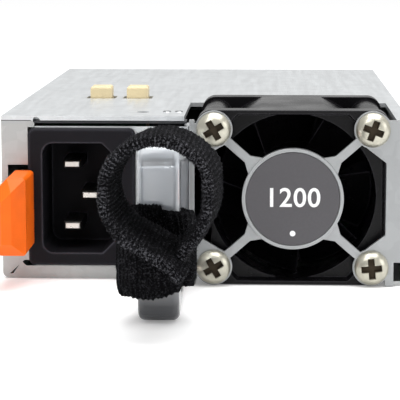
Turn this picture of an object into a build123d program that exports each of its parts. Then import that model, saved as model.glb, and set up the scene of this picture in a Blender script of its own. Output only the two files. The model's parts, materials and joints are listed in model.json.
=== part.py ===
from build123d import *
import math
import os

# Hot swap server power supply, in millimetres.
# X runs across the case, Y from the service end (low) to the card edge (high), Z up.
# The origin is the centre of the case's underside.

# Sheet metal and clearances
sheet = 1.0
bend = 1.4
seat_gap = 0.1
running_gap = 0.3

# Room across the case, from the left wall to the right
latch_bay = 6.0
handle_bay = 11.7
fan_seam = 0.5
fan_inner_side = 1.6
fan_outer_side = 4.3

# Room along the case, from the fan to the card edge
fan_projection = 7.3
plenum = 17.3
converter_gap = 16.0
output_bay = 55.0

# Case
lid_strip = 1.6
rear_step_length = 50.0
rear_step_drop = 4.5
skirt_height = 5.0
lid_hole_inset = 1.1
lid_hole_back = 9.6
lid_hole_radius = 1.4
lid_dimple_pitch = 2.7
lid_dimple_radius = 1.0
lid_dimple_rise = 0.3
lid_dimple_taper = 35
corner_relief = 0.8

# Inlet side of the front
slot_width = 4.6
lip_height = 2.8
panel_recess = 1.3
notch_size = 2.6

# Fan frame
fan_width = 42.0
fan_height = 38.4
fan_depth = 38.0
fan_low = 0.1
fan_rise = 2.0
fan_flange = 5.0
fan_wall = 0.9
fan_rib = 1.2
fan_corner = 3.2
fan_boss = 3.4
screw_inset_x = 3.75
screw_inset_z = 4.1
mouth_side_rim = 1.0
mouth_rim = 0.8
mouth_corner = 7.9
mouth_depth = 3.0
mouth_taper = 8
strut_count = 5
strut_width = 2.0
strut_turn = 20
motor_base = 4.0

# Fan guard
guard_strip = 1.15
guard_return = 9.0
guard_cover = 0.8
guard_tab_radius = 4.1
guard_gusset_reach = 7.2
guard_rim = 0.9
guard_spoke = 1.9
guard_flare = 2.0
guard_notch_width = 3.2
guard_notch_height = 5.3
disc_radius = 10.2
disc_thickness = 0.4

# Fan rotor and motor
hub_radius = 10.5
hub_wall = 1.5
hub_length = 22.0
hub_setback = 3.0
hub_round = 1.0
blade_count = 7
blade_thickness = 1.1
blade_root_chord = 17.0
blade_tip_chord = 19.0
blade_root_angle = 52.0
blade_tip_angle = 34.0
blade_camber = 1.8
blade_turn = 8
tip_gap = 0.5
magnet_thickness = 1.4
magnet_end_gap = 3.0
air_gap = 0.5
stator_slots = 4
stator_leg = 1.4
stator_shell = 0.9
stator_length = 6.0
stator_gap = 3.0
slot_opening = 1.2
bearing_tube_wall = 0.6
bearing_radius = 4.0
bearing_width = 3.0
shaft_radius = 1.5
shaft_gap = 0.05
shaft_end_gap = 0.5
driver_board = 1.2

# Fasteners
fan_screw_head = 3.72
fan_screw_head_height = 2.3
fan_screw_shank = 1.5
fan_screw_length = 9.0
recess_arm = 2.3
recess_width = 1.5
recess_depth = 1.3
recess_taper = 12
cover_screw_radius = 1.4
cover_screw_head = 2.4
cover_screw_front = 72.0
cover_screw_rear = 55.0
handle_screw_radius = 1.2
handle_screw_head = 2.6
handle_screw_head_height = 1.8
handle_screw_length = 8.0
handle_screw_inset = 1.95

# Mains inlet
inlet_low = 3.1
rim_left = 3.3
rim_right = 4.1
rim_low = 2.95
rim_high = 3.35
inlet_proud = 1.5
inlet_corner = 1.5
inlet_edge = 0.4
inlet_wall = 1.5
cavity_width = 16.5
cavity_height = 24.5
cavity_depth = 16.0
cavity_chamfer = 3.3
cavity_round = 2.4
pin_width = 4.0
pin_thickness = 2.0
pin_setback = 3.5
pin_tail = 8.0
pin_nose = 0.5
pin_pitch = 14.0
pin_offset = 2.2
earth_offset = 4.0

# Handle
handle_inset = 3.75
handle_width = 8.3
handle_reach = 49.0
handle_grip_height = 36.5
handle_root_height = 26.5
handle_bar = 9.0
handle_arm = 4.6
handle_foot = 3.0
handle_round = 3.6
handle_inner_round = 1.0
handle_edge_round = 1.5
lamp_radius = 1.5
lamp_length = 1.6
lamp_collar = 0.9
lamp_collar_length = 2.5

# Strap
strap_width = 18.2
strap_thickness = 2.8
wrap_low = 6.6
wrap_bulge = 2.2
loop_width = 17.0
loop_setback = 1.0
loop_radius = 11.1
loop_offset = 1.45
loop_z = 29.2
loop_tail_offset = 5.75
loop_tail_z = 12.2
eye_radius = 8.2
eye_shift = -0.9
eye_tail = 4.4
tail_width = 4.6

# Release latch
latch_pivot_inset = 3.8
latch_pivot_back = 62.0
latch_arm_thickness = 1.2
latch_arm_low = 10.0
latch_arm_high = 22.0
latch_arm_reach = 6.0
latch_wall_gap = 0.6
latch_barrel_radius = 2.3
latch_pin_radius = 1.3
latch_tooth_front = 9.0
latch_tooth_length = 6.0
latch_tooth_proud = 1.8
latch_tooth_tip = 1.0
latch_tooth_shoulder = 1.5
window_front = 1.5
window_rear = 2.5
window_margin = 0.5
slot_low = 7.0
slot_high = 25.6
tab_low = 7.8
tab_high = 24.6
tab_overlap = 1.4
tab_proud = 0.4
tab_length = 16.5
tab_corner = 3.8
tab_bevel = 2.8
tab_round = 0.8
tab_gap = 0.6
spring_wire = 0.5
spring_turns = 5
spring_pitch = 0.9

# Boards
board_thickness = 1.6
board_height = 3.0
board_gap = 8.3
board_margin = 2.0
card_width = 62.0
card_reach = 9.0
card_corner = 1.5
card_gap = 1.0
contact_count = 20
contact_width = 2.0
contact_length = 6.5
contact_thickness = 0.12
contact_margin = 2.0
contact_setback = 1.2
post_radius = 2.6
post_thread = 1.4
post_inset = 4.5
post_front = 5.0
post_rear = 12.0
insulator_thickness = 0.4
insulator_side_gap = 0.6
insulator_gap = 4.0
filter_board_shift = 1.0
filter_board_drop = 1.0

# What stands on the main board
choke_radius = 10.5
choke_hole = 4.0
choke_length = 9.0
choke_round = 1.6
choke_side_gap = 7.0
choke_gap = 1.9
capacitor_radius = 10.5
capacitor_length = 42.0
capacitor_side_gap = 1.5
capacitor_gap = 1.0
crimp_setback = 3.0
crimp_width = 1.6
crimp_depth = 0.8
transformer_width = 28.0
transformer_length = 28.0
transformer_height = 24.0
transformer_leg = 6.0
transformer_yoke = 5.0
transformer_gap = 6.0
middle_leg_width = 15.0
middle_leg_length = 9.0
winding_thickness = 2.0
winding_end = 2.9
winding_margin = 0.5
winding_round = 2.5
sink_setback = 12.0
sink_length = 52.0
sink_height = 23.0
sink_base = 4.0
sink_side_gap = 4.0
fin_count = 4
fin_pitch = 4.4
fin_thickness = 1.8
output_can_radius = 4.6
output_can_height = 18.0
output_can_pitch = 12.0
output_can_gap = 7.4
output_can_count = 5
output_can_edge = 0.6
key_width = 5.15
key_length = 6.0
key_proud = 2.9
key_round = 0.7
key_setback = 43.6
key_inset = 12.3
key_pitch = 8.9
key_slot_side = 1.0

# Rear panel
vent_size = 4.6
vent_pitch = 5.6
vent_rows = 3
vent_columns = 13
vent_start = 7.5
panel_fold = 8.0
panel_fold_gap = 1.0

# The case takes its size from what it holds
inlet_width = rim_left + cavity_width + rim_right
inlet_height = rim_low + cavity_height + rim_high
fan_bay = fan_inner_side + fan_width + fan_outer_side
case_width = latch_bay + inlet_width + handle_bay + fan_seam + fan_bay
fan_stack = fan_low + fan_height - fan_rise
inlet_stack = inlet_low + inlet_height + lid_strip + sheet
case_height = max(fan_stack, inlet_stack)
fan_inside = fan_depth + sheet - fan_projection
case_length = fan_inside + plenum + capacitor_length + converter_gap + transformer_length + output_bay

# Places across the case
half_width = case_width / 2
inlet_left = -half_width + latch_bay
inlet_right = inlet_left + inlet_width
inlet_x = (inlet_left + inlet_right) / 2
cavity_x = inlet_left + rim_left + cavity_width / 2
panel_right = inlet_right + handle_bay
handle_x = panel_right - handle_inset
handle_left = handle_x - handle_width / 2
handle_right = handle_x + handle_width / 2
loop_x = handle_x + loop_offset
loop_tail_x = handle_x + loop_tail_offset
guard_left = panel_right + fan_seam
fan_axis_x = guard_left + fan_inner_side + fan_width / 2
fan_right = fan_axis_x + fan_width / 2
screw_pitch_x = fan_width - 2 * screw_inset_x
latch_pivot_x = -half_width + latch_pivot_inset
latch_arm_left = -half_width + sheet + latch_wall_gap

# Places along the case
front = -case_length / 2
rear = case_length / 2
fan_front = front - fan_projection
fan_face = fan_front + sheet
fan_rear = fan_face + fan_depth
inlet_face = front - inlet_proud
handle_front = front - handle_reach
latch_pivot_y = front + latch_pivot_back
board_start = fan_rear + board_gap
card_end = rear + card_reach
key_front = front + key_setback
capacitor_start = fan_rear + plenum
converter_start = capacitor_start + capacitor_length
sink_start = converter_start + sink_setback
sink_end = sink_start + sink_length
step_start = rear - rear_step_length

# Heights
cover_low = case_height - sheet
rear_low = case_height - rear_step_drop
panel_top = cover_low - panel_recess
inlet_high = inlet_low + inlet_height
inlet_z = (inlet_low + inlet_high) / 2
cavity_z = inlet_low + rim_low + cavity_height / 2
fan_axis_z = fan_low + fan_height / 2
screw_pitch_z = fan_height - 2 * screw_inset_z
handle_middle = handle_grip_height / 2
board_low = sheet + board_height
board_top = board_low + board_thickness

# Fan sizes that follow from its duct
bore_radius = min(fan_width, fan_height) / 2 - fan_wall
blade_tip = bore_radius - tip_gap
hub_inside = hub_radius - hub_wall
tube_radius = bearing_radius + bearing_tube_wall
hub_face = fan_face + hub_setback
base_start = fan_rear - motor_base
guard_ring_radius = disc_radius + guard_rim


# Helpers that place front, side and plan sketches
def rect(low_a, high_a, low_b, high_b):
    centre = Pos((low_a + high_a) / 2, (low_b + high_b) / 2)
    return centre * Rectangle(high_a - low_a, high_b - low_b)


def along_y(sketch, near, far):
    """Extrude a front view (X, Z) from near to far."""
    return extrude(Plane.XZ.offset(-far) * sketch, amount=far - near)


def along_x(sketch, left, right):
    """Extrude a side view (Y, Z) from left to right."""
    return extrude(Plane.YZ.offset(left) * sketch, amount=right - left)


def along_z(sketch, low, high):
    """Extrude a plan view (X, Y) from low to high."""
    return extrude(Pos(0, 0, low) * sketch, amount=high - low)


def front_disc(x, z, radius):
    return Pos(x, z) * Circle(radius)


def about_fan(shape):
    """Turn a shape made about +Z so that its axis is the fan's, pointing at the rear."""
    return Pos(fan_axis_x, 0, fan_axis_z) * Rot(-90, 0, 0) * shape


def ring(outer, inner, near, far):
    """A tube, or a rod, on the fan's axis."""
    profile = Circle(outer)
    if inner > 0:
        profile -= Circle(inner)
    return about_fan(Pos(0, 0, near) * extrude(profile, amount=far - near))


fan_screw_spots = [
    (fan_axis_x + side * screw_pitch_x / 2, fan_axis_z + level * screw_pitch_z / 2)
    for side in (-1, 1)
    for level in (-1, 1)
]

parts = {}


# Sheet-metal tray: floor, side walls, front flange and bottom lip
def make_tray():
    outer = rect(-half_width, half_width, 0, cover_low)
    inner = rect(-half_width + sheet, half_width - sheet, sheet, cover_low + bend)
    outer = fillet(outer.vertices().group_by(Axis.Y)[0], bend)
    inner = fillet(inner.vertices().group_by(Axis.Y)[0], bend - sheet)
    tray = along_y(outer - inner, fan_face, rear)
    # The inlet side stops at the inlet panel, behind the fan end
    tray -= along_z(rect(-half_width - sheet, guard_left, fan_face - sheet, front), -sheet, case_height)
    fan_hole = rect(
        fan_right - fan_width - running_gap,
        fan_right + running_gap,
        fan_face - sheet,
        fan_rear + running_gap,
    )
    tray -= along_z(fan_hole, -sheet, 2 * sheet)
    # Front flange, folded in from the left wall, and the lip folded up from the floor
    tray += along_y(front_flange() + bottom_lip(), front, front + sheet)
    # Window that the latch tooth comes through
    tooth_at = front + latch_tooth_front
    window = rect(
        tooth_at - window_front,
        tooth_at + latch_tooth_length + window_rear,
        latch_arm_low + window_margin,
        latch_arm_high - window_margin,
    )
    tray -= along_x(window, -half_width - sheet, -half_width + 2 * sheet)
    return tray - cover_screw_holes()


def front_flange():
    """Left front flange, slotted for the latch and slanted where it meets the lip."""
    left = -half_width + sheet / 2
    right = inlet_left - seat_gap
    shelf = inlet_high + seat_gap
    outline = Polyline(
        (left, sheet),
        (left + sheet, sheet),
        (right - sheet, lip_height + notch_size / 2),
        (right, lip_height + notch_size / 2),
        (right, shelf),
        (right + inlet_corner, shelf),
        (right + inlet_corner, cover_low),
        (left, cover_low),
        (left, sheet),
    )
    slot = rect(inlet_left - slot_width, inlet_left, slot_low, slot_high)
    return make_face(outline) - slot - relief_disc()


def relief_disc():
    """Bend relief where the flange meets the lid's front edge."""
    return front_disc(inlet_left + inlet_corner + corner_relief / 2, cover_low, corner_relief)


def bottom_lip():
    """Lip folded up from the floor, mitred against the flange."""
    left = -half_width + notch_size * 0.75
    outline = Polyline(
        (left, 0),
        (left, sheet / 2),
        (inlet_left - sheet * 1.8, lip_height + sheet),
        (inlet_left - sheet * 0.8, lip_height),
        (guard_left - sheet, lip_height),
        (guard_left - sheet, 0),
        (left, 0),
    )
    return make_face(outline)


def cover_screw_places():
    spots = []
    for side in (-1, 1):
        for y in (front + cover_screw_front, rear - cover_screw_rear):
            spots.append((side, y))
    return spots


def cover_screw_body(side, y, grow):
    """A countersunk screw from the side wall into the cover's skirt."""
    depth = sheet * 3
    profile = Polyline(
        (0, 0),
        (cover_screw_head + grow, 0),
        (cover_screw_radius + grow, sheet + grow),
        (cover_screw_radius + grow, depth),
        (0, depth),
        (0, 0),
    )
    shape = revolve(Plane.XZ * make_face(profile), Axis.Z)
    height = cover_low - skirt_height / 2
    return Pos(side * half_width, y, height) * Rot(0, -90 * side, 0) * shape


def cover_screw_holes():
    return Part() + [cover_screw_body(side, y, seat_gap / 2) for side, y in cover_screw_places()]


# Top cover: a folded lid with a rear step, a fan cut-out and small openings
def make_cover():
    slope_end = step_start + rear_step_drop
    top_line = [
        (fan_face, case_height),
        (step_start, case_height),
        (slope_end, rear_low),
        (rear, rear_low),
        (rear, rear_low - sheet),
        (slope_end - sheet, rear_low - sheet),
        (step_start - sheet, cover_low),
        (fan_face, cover_low),
        (fan_face, case_height),
    ]
    lid = along_x(make_face(Polyline(*top_line)), -half_width, half_width)
    skirt_inner = half_width - sheet - seat_gap
    skirt_side = rect(front + 3 * sheet, step_start - sheet, cover_low - skirt_height, cover_low)
    for side in (-1, 1):
        edge = sorted((side * (skirt_inner - sheet), side * skirt_inner))
        lid += along_x(skirt_side, *edge)
    fan_cut = rect(guard_left - bend, fan_right + bend, fan_face - sheet, fan_rear + bend)
    inlet_cut = rect(-half_width - sheet, guard_left, fan_face - sheet, front)
    lid -= along_z(fan_cut + inlet_cut, cover_low - skirt_height - sheet, case_height + sheet)
    openings = key_slots() + Pos(lid_hole_x(), front + lid_hole_back) * Circle(lid_hole_radius)
    lid -= along_z(openings, cover_low - sheet, case_height + sheet)
    for step in (2, 3):
        spot = Pos(lid_hole_x() + lid_dimple_pitch * step, front + lid_hole_back, case_height)
        lid += extrude(spot * Circle(lid_dimple_radius), amount=lid_dimple_rise, taper=lid_dimple_taper)
    lid -= along_y(relief_disc(), front - sheet, front + 2 * sheet)
    return lid - cover_screw_holes()


def lid_hole_x():
    return inlet_right + lid_hole_inset


def key_slots():
    """Slots in the lid that the nylon blocks come up through."""
    slots = Sketch()
    for x in key_places():
        slots += rect(
            x - key_width / 2 - key_slot_side,
            x + key_width / 2 + key_slot_side,
            key_front - running_gap,
            key_front + key_length + running_gap,
        )
    return slots


def key_places():
    return [inlet_left + key_inset, inlet_left + key_inset + key_pitch]


# Side walls stop lower under the stepped end of the lid
def trim_tray_for_step(tray):
    slope_end = step_start + rear_step_drop
    above = Polyline(
        (step_start - sheet, case_height),
        (step_start - sheet, cover_low),
        (slope_end - sheet, rear_low - sheet),
        (rear + sheet, rear_low - sheet),
        (rear + sheet, case_height),
        (step_start - sheet, case_height),
    )
    return tray - along_x(make_face(above), -half_width - sheet, half_width + sheet)


# Sheet panel behind the mains inlet, with a return beside the fan
def make_inlet_panel():
    outline = rect(inlet_left + inlet_wall, panel_right, lip_height + seat_gap, panel_top)
    outline -= rect(
        inlet_left + inlet_wall - sheet,
        inlet_right - inlet_wall + seat_gap,
        inlet_low + inlet_wall - seat_gap,
        inlet_high - inlet_wall + seat_gap,
    )
    for z in handle_screw_levels():
        outline -= front_disc(handle_x, z, handle_screw_radius + running_gap)
    outline -= front_disc(handle_x, handle_middle, lamp_radius + seat_gap)
    panel = along_y(outline, front, front + sheet)
    side = rect(front, front + guard_return, lip_height + seat_gap, panel_top)
    panel += along_x(side, panel_right - sheet, panel_right)
    return panel


# Stamped fan guard: frame strips, screw tabs, spokes and ring in one sheet
def make_guard():
    left_inner = guard_left + guard_strip
    right_inner = fan_right - guard_cover
    sketch = rect(guard_left, left_inner, 0, fan_stack)
    sketch += rect(right_inner, half_width, 0, fan_stack)
    for x, z in fan_screw_spots:
        sketch += front_disc(x, z, guard_tab_radius)
        sketch += guard_gusset(x, z, left_inner, right_inner)
        sketch += guard_spoke_bar(x, z)
    sketch += front_disc(fan_axis_x, fan_axis_z, guard_ring_radius)
    for x, z in fan_screw_spots:
        sketch -= front_disc(x, z, fan_screw_shank + seat_gap)
    sketch -= rect(half_width - guard_notch_width, half_width + sheet, -sheet, guard_notch_height)
    plate = along_y(sketch, fan_front, fan_face)
    # Returns that run back along the case wall and beside the inlet panel
    right_wall = half_width - sheet - seat_gap
    return_top = fan_stack - sheet - seat_gap
    right_side = rect(fan_front, fan_front + guard_return, guard_notch_height + sheet, return_top)
    plate += along_x(right_side, right_wall - sheet, right_wall)
    left_side = rect(fan_front, fan_front + guard_return, lip_height + seat_gap, return_top)
    plate += along_x(left_side, guard_left, guard_left + sheet)
    rim = front_disc(fan_axis_x, fan_axis_z, guard_ring_radius)
    rim -= front_disc(fan_axis_x, fan_axis_z, disc_radius + seat_gap)
    return plate + along_y(rim, fan_front - disc_thickness - seat_gap, fan_front)


def guard_gusset(x, z, left_inner, right_inner):
    """The slanted corner that joins a screw tab to the strip beside it."""
    side = 1 if x > fan_axis_x else -1
    level = 1 if z > fan_axis_z else -1
    strip = right_inner if side > 0 else left_inner
    into_strip = strip + side * seat_gap
    tangent_x = guard_tab_radius * math.sin(math.radians(20))
    tangent_z = guard_tab_radius * math.cos(math.radians(20))
    corner = Polyline(
        (strip, z - level * guard_gusset_reach),
        (x - side * tangent_x, z - level * tangent_z),
        (x, z),
        (into_strip, z + level * guard_tab_radius / 3),
        (into_strip, z - level * guard_gusset_reach),
        (strip, z - level * guard_gusset_reach),
    )
    return make_face(corner)


def guard_spoke_bar(x, z):
    """A straight spoke, flared where it runs into the ring."""
    away_x = x - fan_axis_x
    away_z = z - fan_axis_z
    length = math.hypot(away_x, away_z)
    turn = math.degrees(math.atan2(away_z, away_x))
    start = guard_ring_radius - sheet
    neck = guard_ring_radius + guard_flare
    half = guard_spoke / 2
    flare = Polyline(
        (start, 3 * half),
        (neck, half),
        (length, half),
        (length, -half),
        (neck, -half),
        (start, -3 * half),
        (start, 3 * half),
    )
    return Pos(fan_axis_x, fan_axis_z) * Rot(0, 0, turn) * make_face(flare)


def make_disc():
    disc = front_disc(fan_axis_x, fan_axis_z, disc_radius)
    return along_y(disc, fan_front - disc_thickness, fan_front)


# Fan frame: two flanges, a round duct, corner bosses, motor base and struts
def make_fan_frame():
    outline = RectangleRounded(fan_width, fan_height, fan_corner)
    duct_outer = Circle(bore_radius + fan_wall + fan_rib) & Rectangle(fan_width - mouth_side_rim, fan_height)
    corners = [
        Pos(side * screw_pitch_x / 2, level * screw_pitch_z / 2) for side in (-1, 1) for level in (-1, 1)
    ]
    bosses = Sketch() + [spot * Circle(fan_boss) for spot in corners]
    plain = extrude(outline, amount=fan_flange)
    middle = extrude(duct_outer + (bosses & outline), amount=fan_depth)
    frame = plain + Pos(0, 0, fan_depth - fan_flange) * plain + middle
    frame -= extrude(Circle(bore_radius), amount=fan_depth)
    frame -= intake_pocket()
    for spot in corners:
        frame -= spot * extrude(Circle(fan_screw_shank + shaft_gap), amount=fan_screw_length + sheet)
    base_at = fan_depth - motor_base
    frame += Pos(0, 0, base_at) * extrude(Circle(hub_radius), amount=motor_base)
    frame += make_struts(base_at)
    tube_at = hub_setback + hub_wall + stator_gap
    frame += Pos(0, 0, tube_at) * extrude(Circle(tube_radius), amount=base_at - tube_at)
    frame -= Pos(0, 0, tube_at) * extrude(Circle(bearing_radius), amount=base_at - tube_at)
    return about_fan(Pos(0, 0, fan_face) * frame)


def intake_pocket():
    """The eight-sided, slightly tapered mouth in the front flange."""
    half_x = fan_width / 2 - mouth_side_rim
    half_z = fan_height / 2 - mouth_rim
    points = [
        (half_x, half_z - mouth_corner),
        (half_x - mouth_corner, half_z),
        (mouth_corner - half_x, half_z),
        (-half_x, half_z - mouth_corner),
        (-half_x, mouth_corner - half_z),
        (mouth_corner - half_x, -half_z),
        (half_x - mouth_corner, -half_z),
        (half_x, mouth_corner - half_z),
    ]
    mouth = make_face(Polyline(*points, close=True))
    return extrude(mouth, amount=mouth_depth, taper=mouth_taper)


def make_struts(start):
    """Outlet struts from the motor base to the duct."""
    strut = Rectangle(bore_radius - hub_radius + 2 * fan_wall, strut_width)
    reach = (bore_radius + hub_radius) / 2
    bar = Pos(0, 0, start) * extrude(Pos(reach, 0) * strut, amount=motor_base)
    bar &= extrude(Circle(bore_radius + fan_wall / 2), amount=fan_depth)
    return [Rot(0, 0, 360 / strut_count * step + strut_turn) * bar for step in range(strut_count)]


# Fan rotor: a hub cup with twisted, cambered blades trimmed to the duct
def blade_section(radius, chord, angle):
    """A lens-shaped blade section on the plane that faces outward at a radius."""
    rise = math.radians(angle)
    half_u = chord / 2 * math.cos(rise)
    half_v = chord / 2 * math.sin(rise)
    lift_u = -math.sin(rise)
    lift_v = math.cos(rise)
    outer_bulge = blade_camber + blade_thickness / 2
    inner_bulge = blade_camber - blade_thickness / 2
    tail = (-half_u, -half_v)
    nose = (half_u, half_v)
    outer = ThreePointArc(tail, (lift_u * outer_bulge, lift_v * outer_bulge), nose)
    inner = ThreePointArc(nose, (lift_u * inner_bulge, lift_v * inner_bulge), tail)
    plane = Plane(origin=(radius, 0, 0), x_dir=(0, 1, 0), z_dir=(1, 0, 0))
    return plane * make_face(outer + inner)


def make_rotor():
    cup = extrude(Circle(hub_radius), amount=hub_length)
    cup = fillet(cup.edges().group_by(Axis.Z)[0], hub_round)
    cup -= Pos(0, 0, hub_wall) * extrude(Circle(hub_inside), amount=hub_length)
    root_half = blade_root_chord / 2 * math.cos(math.radians(blade_root_angle))
    root = math.sqrt(hub_radius**2 - root_half**2)
    blade = loft(
        [
            blade_section(root - running_gap, blade_root_chord, blade_root_angle),
            blade_section(bore_radius, blade_tip_chord, blade_tip_angle),
        ]
    )
    sleeve = Circle(blade_tip) - Circle(hub_radius - hub_wall / 2)
    blade = (Pos(0, 0, hub_length / 2) * blade) & extrude(sleeve, amount=hub_length)
    rotor = cup
    for step in range(blade_count):
        rotor += Rot(0, 0, 360 / blade_count * step + blade_turn) * blade
    boss = Circle(2 * shaft_radius) - Circle(shaft_radius)
    rotor += Pos(0, 0, hub_wall) * extrude(boss, amount=sheet)
    rotor -= extrude(Circle(shaft_radius), amount=hub_wall)
    return about_fan(Pos(0, 0, hub_face) * rotor)


def make_motor():
    inside = hub_face + hub_wall
    magnet_inner = hub_inside - magnet_thickness
    magnet_end = hub_face + hub_length - sheet
    parts["fan_magnet"] = ring(hub_inside, magnet_inner, inside + magnet_end_gap, magnet_end)
    parts["fan_shaft"] = ring(shaft_radius, 0, hub_face + running_gap, base_start - shaft_end_gap)
    bearing_starts = [inside + stator_gap, base_start - bearing_width]
    bore = shaft_radius + shaft_gap
    bearings = [ring(bearing_radius, bore, start, start + bearing_width) for start in bearing_starts]
    parts["fan_bearings"] = Compound(children=bearings)
    stator_outer = magnet_inner - air_gap
    core = Circle(tube_radius + stator_shell) - Circle(tube_radius)
    rim = Circle(stator_outer) - Circle(stator_outer - stator_shell)
    leg = Rectangle(stator_outer - tube_radius - stator_shell / 2, stator_leg)
    for step in range(stator_slots):
        turn = Rot(0, 0, 360 / stator_slots * step)
        core += turn * Pos((stator_outer + tube_radius) / 2, 0) * leg
        half_turn = Rot(0, 0, 360 / stator_slots * (step + 0.5))
        rim -= half_turn * Pos(stator_outer, 0) * Rectangle(3 * stator_shell, slot_opening)
    stack = Pos(0, 0, inside + 2 * stator_gap) * extrude(core + rim, amount=stator_length)
    parts["fan_stator"] = about_fan(stack)
    parts["fan_driver_board"] = ring(stator_outer, tube_radius, base_start - driver_board, base_start)


# Pan-head screws with a cross recess, each turned a little differently
def screw_head(radius, height, turn):
    shoulder = height * 0.35
    profile = Polyline((0, 0), (radius, 0), (radius, shoulder))
    dome = ThreePointArc((radius, shoulder), (radius * 0.78, height * 0.8), (0, height))
    face = make_face(profile + dome + Line((0, height), (0, 0)))
    head = revolve(Plane.XZ * face, Axis.Z)
    cross = Rectangle(2 * recess_arm, recess_width) + Rectangle(recess_width, 2 * recess_arm)
    cut = extrude(Pos(0, 0, height) * cross, amount=-recess_depth, taper=recess_taper)
    cut += extrude(Pos(0, 0, height) * cross, amount=height)
    return head - Rot(0, 0, turn) * cut


def make_fan_screws():
    turns = [30, 30, 5, -20]
    screws = []
    for (x, z), turn in zip(fan_screw_spots, turns):
        head = screw_head(fan_screw_head, fan_screw_head_height, turn)
        shank = Pos(0, 0, -fan_screw_length) * extrude(Circle(fan_screw_shank), amount=fan_screw_length + 0.5)
        screws.append(Pos(x, fan_front, z) * Rot(90, 0, 0) * (head + shank))
    return Compound(children=screws)


# Mains inlet: rounded bezel, keyed cavity and three blades
def cavity_outline():
    """Rounded on the live side, slanted on the earth side."""
    right = cavity_width / 2
    left = -right
    high = cavity_height / 2
    low = -high
    corner = left + cavity_round
    lines = Polyline(
        (corner, high),
        (right - cavity_chamfer, high),
        (right, high - cavity_chamfer),
        (right, low + cavity_chamfer),
        (right - cavity_chamfer, low),
        (corner, low),
    )
    low_arc = JernArc((corner, low), (-1, 0), cavity_round, -90)
    side = Line((left, low + cavity_round), (left, high - cavity_round))
    high_arc = JernArc((left, high - cavity_round), (0, 1), cavity_round, -90)
    return Pos(cavity_x, cavity_z) * make_face(lines + low_arc + side + high_arc)


def make_inlet():
    bezel = Pos(inlet_x, inlet_z) * RectangleRounded(inlet_width, inlet_height, inlet_corner)
    face = along_y(bezel, inlet_face, front)
    face = chamfer(face.edges().group_by(Axis.Y)[0], inlet_edge)
    body = rect(
        inlet_left + inlet_wall + seat_gap,
        inlet_right - inlet_wall,
        inlet_low + inlet_wall,
        inlet_high - inlet_wall,
    )
    floor = front + cavity_depth
    housing = face + along_y(body, front, floor + 2 * inlet_wall)
    housing -= along_y(cavity_outline(), inlet_face - sheet, floor)
    for _, x, z in pin_places():
        housing -= along_y(pin_section(x, z), floor - sheet, floor + 3 * inlet_wall)
    return housing


def pin_section(x, z):
    return rect(x - pin_width / 2, x + pin_width / 2, z - pin_thickness / 2, z + pin_thickness / 2)


def pin_places():
    live_x = cavity_x - pin_offset
    return [
        ("line_pin", live_x, cavity_z + pin_pitch / 2),
        ("neutral_pin", live_x, cavity_z - pin_pitch / 2),
        ("earth_pin", live_x + earth_offset, cavity_z),
    ]


def make_pin(x, z):
    """A flat blade with a tapered nose, standing in the cavity's floor."""
    pin = along_y(pin_section(x, z), front + pin_setback, front + cavity_depth + pin_tail)
    return chamfer(pin.edges().group_by(Axis.Y)[0], pin_nose)


# Translucent D handle, flared towards the grip
def make_handle():
    root_low = handle_middle - handle_root_height / 2
    root_high = handle_middle + handle_root_height / 2
    outer = make_face(
        Polyline(
            (front, root_low),
            (handle_front, 0),
            (handle_front, handle_grip_height),
            (front, root_high),
            (front, root_low),
        )
    )
    grip_corners = outer.vertices().group_by(Axis.X)[0]
    outer = fillet(grip_corners, handle_round)
    inner_near = handle_front + handle_bar
    inner_far = front - handle_foot
    slope = (handle_grip_height - handle_root_height) / 2 / handle_reach
    near_low = handle_arm + slope * handle_bar
    far_low = handle_arm + slope * (inner_far - handle_front)
    inner = make_face(
        Polyline(
            (inner_far, far_low),
            (inner_near, near_low),
            (inner_near, handle_grip_height - near_low),
            (inner_far, handle_grip_height - far_low),
            (inner_far, far_low),
        )
    )
    inner = fillet(inner.vertices(), handle_inner_round)
    handle = along_x(outer - inner, handle_left, handle_right)
    for side in (handle.faces().sort_by(Axis.X)[0], handle.faces().sort_by(Axis.X)[-1]):
        rim = [edge for edge in side.outer_wire().edges() if edge.center().Y < front - seat_gap]
        handle = fillet(rim, handle_edge_round)
    for z in handle_screw_levels():
        hole = front_disc(handle_x, z, handle_screw_radius)
        handle -= along_y(hole, front - handle_screw_length, front)
    lamp = front_disc(handle_x, handle_middle, lamp_radius + running_gap)
    return handle - along_y(lamp, front - lamp_length - running_gap, front)


def handle_screw_levels():
    reach = handle_root_height / 2 - handle_screw_inset
    return [handle_middle - reach, handle_middle + reach]


def make_handle_screws():
    screws = []
    shank_length = handle_screw_length - sheet
    for z in handle_screw_levels():
        head = screw_head(handle_screw_head, handle_screw_head_height, 0)
        shank = extrude(Circle(handle_screw_radius), amount=-shank_length)
        screws.append(Pos(handle_x, front + sheet, z) * Rot(-90, 0, 0) * (head + shank))
    return Compound(children=screws)


def make_lamp():
    """Round indicator lamp that shines into the handle's foot."""
    lens = front_disc(handle_x, handle_middle, lamp_radius)
    collar = front_disc(handle_x, handle_middle, lamp_radius + lamp_collar)
    back = front + sheet
    return along_y(lens, front - lamp_length, back) + along_y(collar, back, back + lamp_collar_length)


# Hook-and-loop strap, as plain closed solids
def make_strap_wrap():
    clear = running_gap
    bar_back = handle_front + handle_bar
    hole = rect(handle_left - clear, handle_right + clear, handle_front - clear, bar_back + clear)
    grow = clear + strap_thickness
    outer = rect(
        handle_left - grow - wrap_bulge,
        handle_right + grow,
        handle_front - grow,
        bar_back + grow,
    )
    outer = fillet(outer.vertices(), strap_thickness)
    return along_z(outer - hole, wrap_low, wrap_low + strap_width)


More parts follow.
